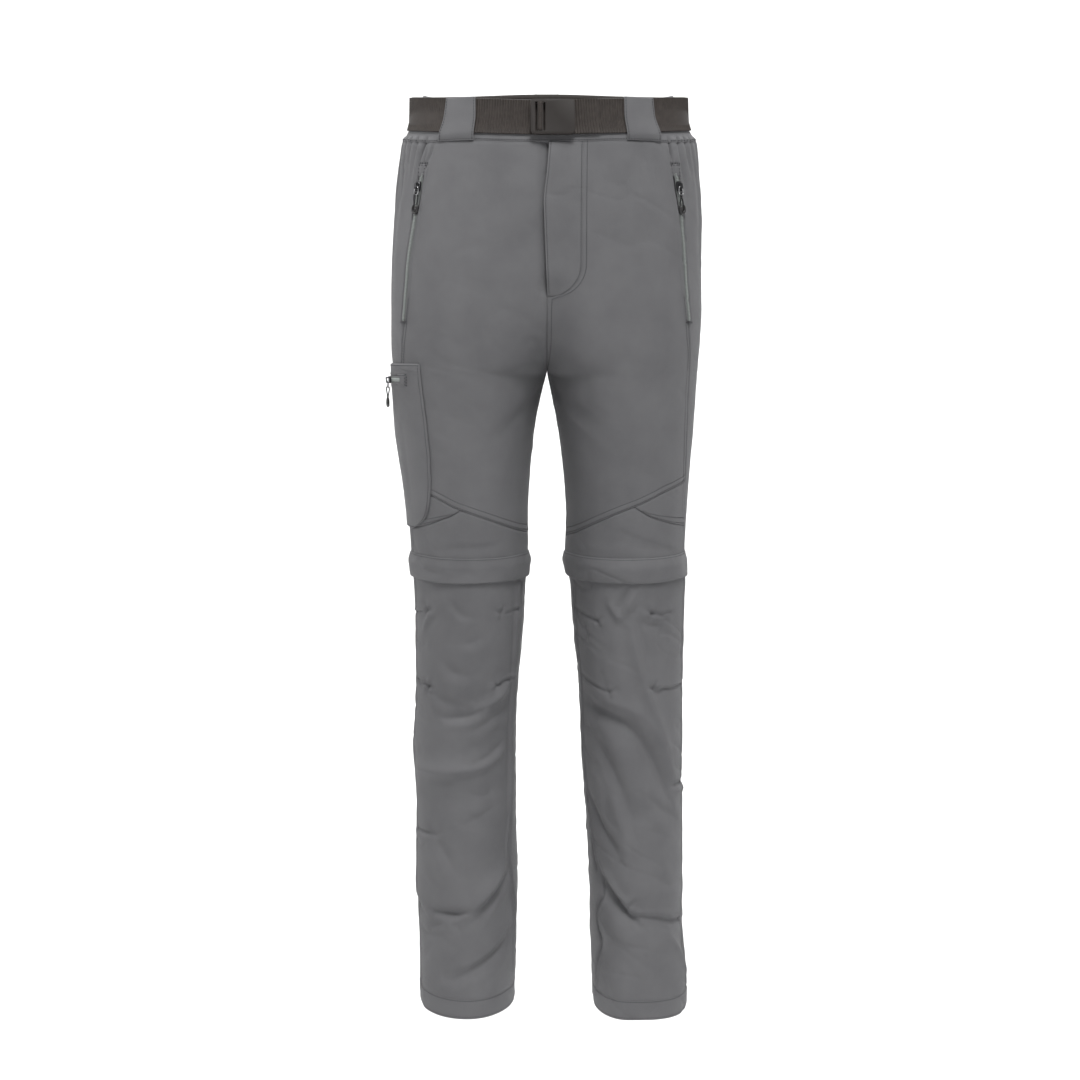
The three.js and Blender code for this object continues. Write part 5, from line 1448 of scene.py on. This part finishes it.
def handZip(leg):
    title, at = leg.capitalize(), zipSet
    z = np.linspace(at["top"], at["bottom"], 90)
    zipAlong("pocketZip" + title, "pocketTeeth" + title, skin(leg, sideSeam(leg, z), z, 0.35),
             "pocket_zip_" + leg)
    middle, half = float(sideSeam(leg, -90.0)), at["patchHalf"] / float(girthAt(leg, -90.0))
    patch("zipGarage" + title, leg, middle - half, middle + half, at["patchTop"], at["patchBottom"], 1.5,
          "front" + title)
    # bar tacks across both ends of the zip
    for level in at["tackLevels"]:
        s = sideSeam(leg, level) + np.linspace(-at["tackHalf"], at["tackHalf"], 8) / girthAt(leg, level)
        for shift in (-0.5, 0.5):
            stitching["pocket"].append(skin(leg, s, level + shift, 1.3))


def pocketZip():
    s = np.linspace(pocketSet["zipStart"], pocketSet["zipEnd"], 80)
    z = np.full(s.shape, float(pocketSet["zipZ"]))
    zipAlong("cargoZip", "cargoTeeth", skin("right", s, z, 3.55 + pocketBulge(s, z)), "cargo_zip")
    patch("zipGarageCargo", "right", 0.378, 0.415, -317.5, -330.5, 3.5, "cargoPocket")
    levels = np.linspace(-330, -318, 8)
    for share, off in ((0.374, 4.2), (0.618, 4.0)):
        for shift in (-0.001, 0.001):
            stitching["pocket"].append(skin("right", share + shift, levels, off))


handZip("right")
handZip("left")
pocketZip()
print("stage: zips made")


# Pulls: ring, cord loop and moulded grip, as points in millimetres in the slider's own directions:
# across it, along it and out from the cloth
pullSet = dict(
    bar=0.58,
    cordRadius=0.62,
    ringDepth=3.1,
    ring=[(-2.3, -1), (0, -1), (2.3, -1), (3.0, -3.2), (3.5, -6.3), (2.6, -8.6), (0, -9.2), (-2.6, -8.6),
          (-3.5, -6.3), (-3.0, -3.2)],
    cord=[(-2.3, -21.2, 3.1), (-2.6, -17, 3.3), (-2.1, -13.4, 4), (-1.3, -10.9, 4.6), (-0.8, -9.2, 4.75),
          (-0.4, -8.1, 4.3), (0, -7.6, 3.1), (0.4, -8.1, 1.9), (0.8, -9.2, 1.5), (1.3, -10.9, 1.6),
          (2.1, -13.4, 2.2), (2.6, -17, 2.9), (2.3, -21.2, 3.1)],
    bow=[(-2.6, -20.2, 3.1), (-3.9, -21.8, 3.15), (-4.5, -24.4, 3.15), (-3.9, -27.2, 3.1), (-2.1, -29, 3.05),
         (0, -29.5, 3.0), (2.1, -29, 3.05), (3.9, -27.2, 3.1), (4.5, -24.4, 3.15), (3.9, -21.8, 3.15),
         (2.6, -20.2, 3.1)],
    webMiddle=-25.2,
    webSize=(3.6, 3.2),
    webLevels=(2.6, 3.6),
    webSides=24,
    lean=dict(pull_right=0.11, pull_left=-0.11, pull_cargo=0.05),
)


def tube(path, radius, sides=12, closed=False):
    # verts and faces of a round tube along points, in the path's own units
    path = np.asarray(path, float)
    n = len(path)
    tangent = np.roll(path, -1, 0) - np.roll(path, 1, 0) if closed else np.gradient(path, axis=0)
    tangent /= np.linalg.norm(tangent, axis=1, keepdims=True)
    normal = np.cross(tangent[0], [0, 0, 1.0])
    if np.linalg.norm(normal) < 1e-3:
        normal = np.cross(tangent[0], [0, 1.0, 0])
    normal /= np.linalg.norm(normal)
    verts = []
    radius = np.broadcast_to(radius, (n,))
    for i in range(n):
        normal = normal - tangent[i] * (normal @ tangent[i])
        normal /= np.linalg.norm(normal)
        side = np.cross(tangent[i], normal)
        for k in range(sides):
            a = 2 * math.pi * k / sides
            verts.append(path[i] + radius[i] * (math.cos(a) * normal + math.sin(a) * side))
    faces = []
    for i in range(n if closed else n - 1):
        for k in range(sides):
            a, b = i * sides + k, i * sides + (k + 1) % sides
            c, d = (i + 1) % n * sides + k, (i + 1) % n * sides + (k + 1) % sides
            faces.append((a, b, d, c))
    if not closed:
        faces.append(list(range(sides)))
        faces.append([(n - 1) * sides + k for k in range(sides)])
    return np.array(verts), faces


def smoothPath(points, steps, closed=False):
    # Catmull-Rom curve through the points
    p = np.asarray(points, float)
    before, after = (p[-1:], p[:2]) if closed else (2 * p[:1] - p[1:2], 2 * p[-1:] - p[-2:-1])
    ext = np.concatenate([before, p, after])
    out = []
    count = len(p) if closed else len(p) - 1
    for k in range(count):
        a, b, c, d = ext[k:k + 4]
        for t in np.arange(steps) / steps:
            bend, twist = 2 * a - 5 * b + 4 * c - d, 3 * b - a - 3 * c + d
            out.append(0.5 * (2 * b + (c - a) * t + bend * t**2 + twist * t**3))
    if not closed:
        out.append(p[-1])
    return np.array(out)


def pullFrame(bodyName):
    # the slider's place and directions, from the hinge that swings this pull
    joint = next(j for j in frame["joints"] if j["child"] == bodyName)
    x = -Vector(joint["axis"]).normalized()
    y = Vector((0, 0, 1))
    y = (y - x * y.dot(x)).normalized()
    return x, y, x.cross(y), Vector(joint["pos_m"])


def local(points, bodyName):
    x, y, z, origin = pullFrame(bodyName)
    turn = np.array([list(x), list(y), list(z)])
    shifted = np.asarray(points, float) - np.array([0, -1, pullSet["ringDepth"]])
    lean = pullSet["lean"][bodyName] * smooth(-shifted[:, 1] / 8)
    shifted[:, 0] += lean * shifted[:, 1]
    return shifted * mm @ turn + np.array(list(origin))


def pullPart(name, shape, material, bodyName, node):
    verts, faces = shape
    made = bpy.data.meshes.new(name)
    made.from_pydata(local(verts, bodyName).tolist(), [], faces)
    dress(finished(name, made), material, bodyName, [node])


def gripShape():
    # two sleeves for the cord's ends, joined by a thick bow with a thin web between
    path = smoothPath(pullSet["bow"], 6)
    verts, faces = tube(path, 0.75 + 0.8 * np.sin(math.pi * np.linspace(0, 1, len(path))) ** 0.6, 14)
    sides, (wide, tall) = pullSet["webSides"], pullSet["webSize"]
    turn = np.linspace(0, 2 * math.pi, sides, False)
    web = np.column_stack([wide * np.cos(turn), pullSet["webMiddle"] + tall * np.sin(turn)])
    lids = [np.column_stack([web, np.full(sides, level)]) for level in pullSet["webLevels"]]
    low = len(verts)
    high = low + sides
    faces += [[low + k for k in range(sides)][::-1], [high + k for k in range(sides)]]
    faces += [(low + k, low + (k + 1) % sides, high + (k + 1) % sides, high + k) for k in range(sides)]
    return np.concatenate([verts, *lids]), faces


def sliderPiece(name, node, width):
    dress(fromNode(name, node, width, 30, 2), "slider", nodes=[node])


def pulls():
    ring = smoothPath([(x, y, pullSet["ringDepth"]) for x, y in pullSet["ring"]], 6, closed=True)
    cord = smoothPath(pullSet["cord"], 7)
    for title, label in (("Right", "pocket_right"), ("Left", "pocket_left"), ("Cargo", "cargo")):
        bodyName = "pull_" + title.lower()
        sliderPiece("slider" + title, label + "_slider", 0.35)
        pullPart("ring" + title, tube(ring, pullSet["bar"], closed=True), "ring", bodyName,
                 label + "_ring")
        pullPart("cord" + title, tube(cord, pullSet["cordRadius"]), "cord", bodyName,
                 label + "_cord")
        pullPart("grip" + title, gripShape(), "grip", bodyName, label + "_grip")
    for leg in sideSign:
        sliderPiece("kneeSlider" + leg.capitalize(), "knee_slider_" + leg, 0.25)


pulls()
print("stage: pulls made")

stitchLook = dict(Pitch=3.1 * mm, Size=(1.05 * mm, 0.5 * mm, 0.32 * mm), Lift=0.03 * mm, Tilt=0.07, Sides=5)
# stitches in the dark thread, whose darkness is partly painted seam shade
for number, (group, lines) in enumerate(stitching.items()):
    barsAlong("stitches" + group.capitalize(), lines, "thread", Seed=11 + number, **stitchLook)
print("stage: stitches made")


# Floor, light and camera
stageSet = dict(
    floorZ=-1.32, floorSide=7.0, floorFront=-4.0, floorBack=2.2, floorBend=1.2, wallTop=5.0,
    target=(-0.008, 0, -0.509), distance=2.6, elevation=5, frameWidth=1.242, sensor=36,
    sunFrom=(0.35, -1.0, 1.7), sunAngle=35, sunPower=1.45,
    lights=[
        dict(name="front", at=(0.1, -1.25, 1.45), size=0.5, power=20, aim=(0, 0, -0.1)),
        dict(name="sideRight", at=(-0.95, -0.15, 0.25), size=0.3, power=2.6, aim=(-0.1, 0, -0.06)),
        dict(name="wash", at=(0, 0.9, 1.9), size=2.4, power=70, aim=(0, 3.2, -0.5)),
    ],
    world=(0.95, 0.95, 0.96), worldStrength=0.36,
)


def aimed(name, data, place, target):
    item = bpy.data.objects.new(name, data)
    item.location = place
    item.rotation_euler = (Vector(target) - Vector(place)).to_track_quat("-Z", "Y").to_euler()
    bpy.context.scene.collection.objects.link(item)
    return item


def studio():
    # a floor that curves up into a wall behind
    side, front, back, bend = (stageSet[key] for key in ("floorSide", "floorFront", "floorBack", "floorBend"))
    rows = [(front, 0.0), (back, 0.0)]
    for a in np.linspace(0.12, math.pi / 2, 12):
        rows.append((back + bend * math.sin(a), bend * (1 - math.cos(a))))
    rows += [(back + bend, stageSet["wallTop"])]
    verts = [(x, y, stageSet["floorZ"] + h) for y, h in rows for x in (-side, side)]
    faces = [(2 * k, 2 * k + 1, 2 * k + 3, 2 * k + 2) for k in range(len(rows) - 1)]
    made = bpy.data.meshes.new("floor")
    made.from_pydata(verts, [], faces)
    made.shade_smooth()
    floor = bpy.data.objects.new("floor", made)
    bpy.context.scene.collection.objects.link(floor)
    paint, shader, _, _ = newMaterial("floorPale")
    shader.inputs["Base Color"].default_value = (0.93, 0.93, 0.93, 1)
    shader.inputs["Roughness"].default_value = 0.9
    floor.data.materials.append(paint)
    world = bpy.data.worlds.new("studio")
    world.use_nodes = True
    background = world.node_tree.nodes["Background"]
    background.inputs["Color"].default_value = (*stageSet["world"], 1)
    background.inputs["Strength"].default_value = stageSet["worldStrength"]
    bpy.context.scene.world = world
    data = bpy.data.lights.new("key", "SUN")
    data.energy, data.angle = stageSet["sunPower"], math.radians(stageSet["sunAngle"])
    aimed("key", data, stageSet["sunFrom"], (0, 0, 0))
    for spec in stageSet["lights"]:
        data = bpy.data.lights.new(spec["name"], "AREA")
        data.energy, data.size = spec["power"], spec["size"]
        aimed(spec["name"], data, spec["at"], spec["aim"])
    data = bpy.data.cameras.new("camera")
    data.sensor_width = stageSet["sensor"]
    data.lens = stageSet["sensor"] * stageSet["distance"] / stageSet["frameWidth"]
    target, tilt = Vector(stageSet["target"]), math.radians(stageSet["elevation"])
    place = target + Vector((0, -math.cos(tilt), math.sin(tilt))) * stageSet["distance"]
    bpy.context.scene.camera = aimed("camera", data, place, target)
    bpy.context.scene.view_settings.view_transform = "Standard"


studio()
print("stage: studio ready")
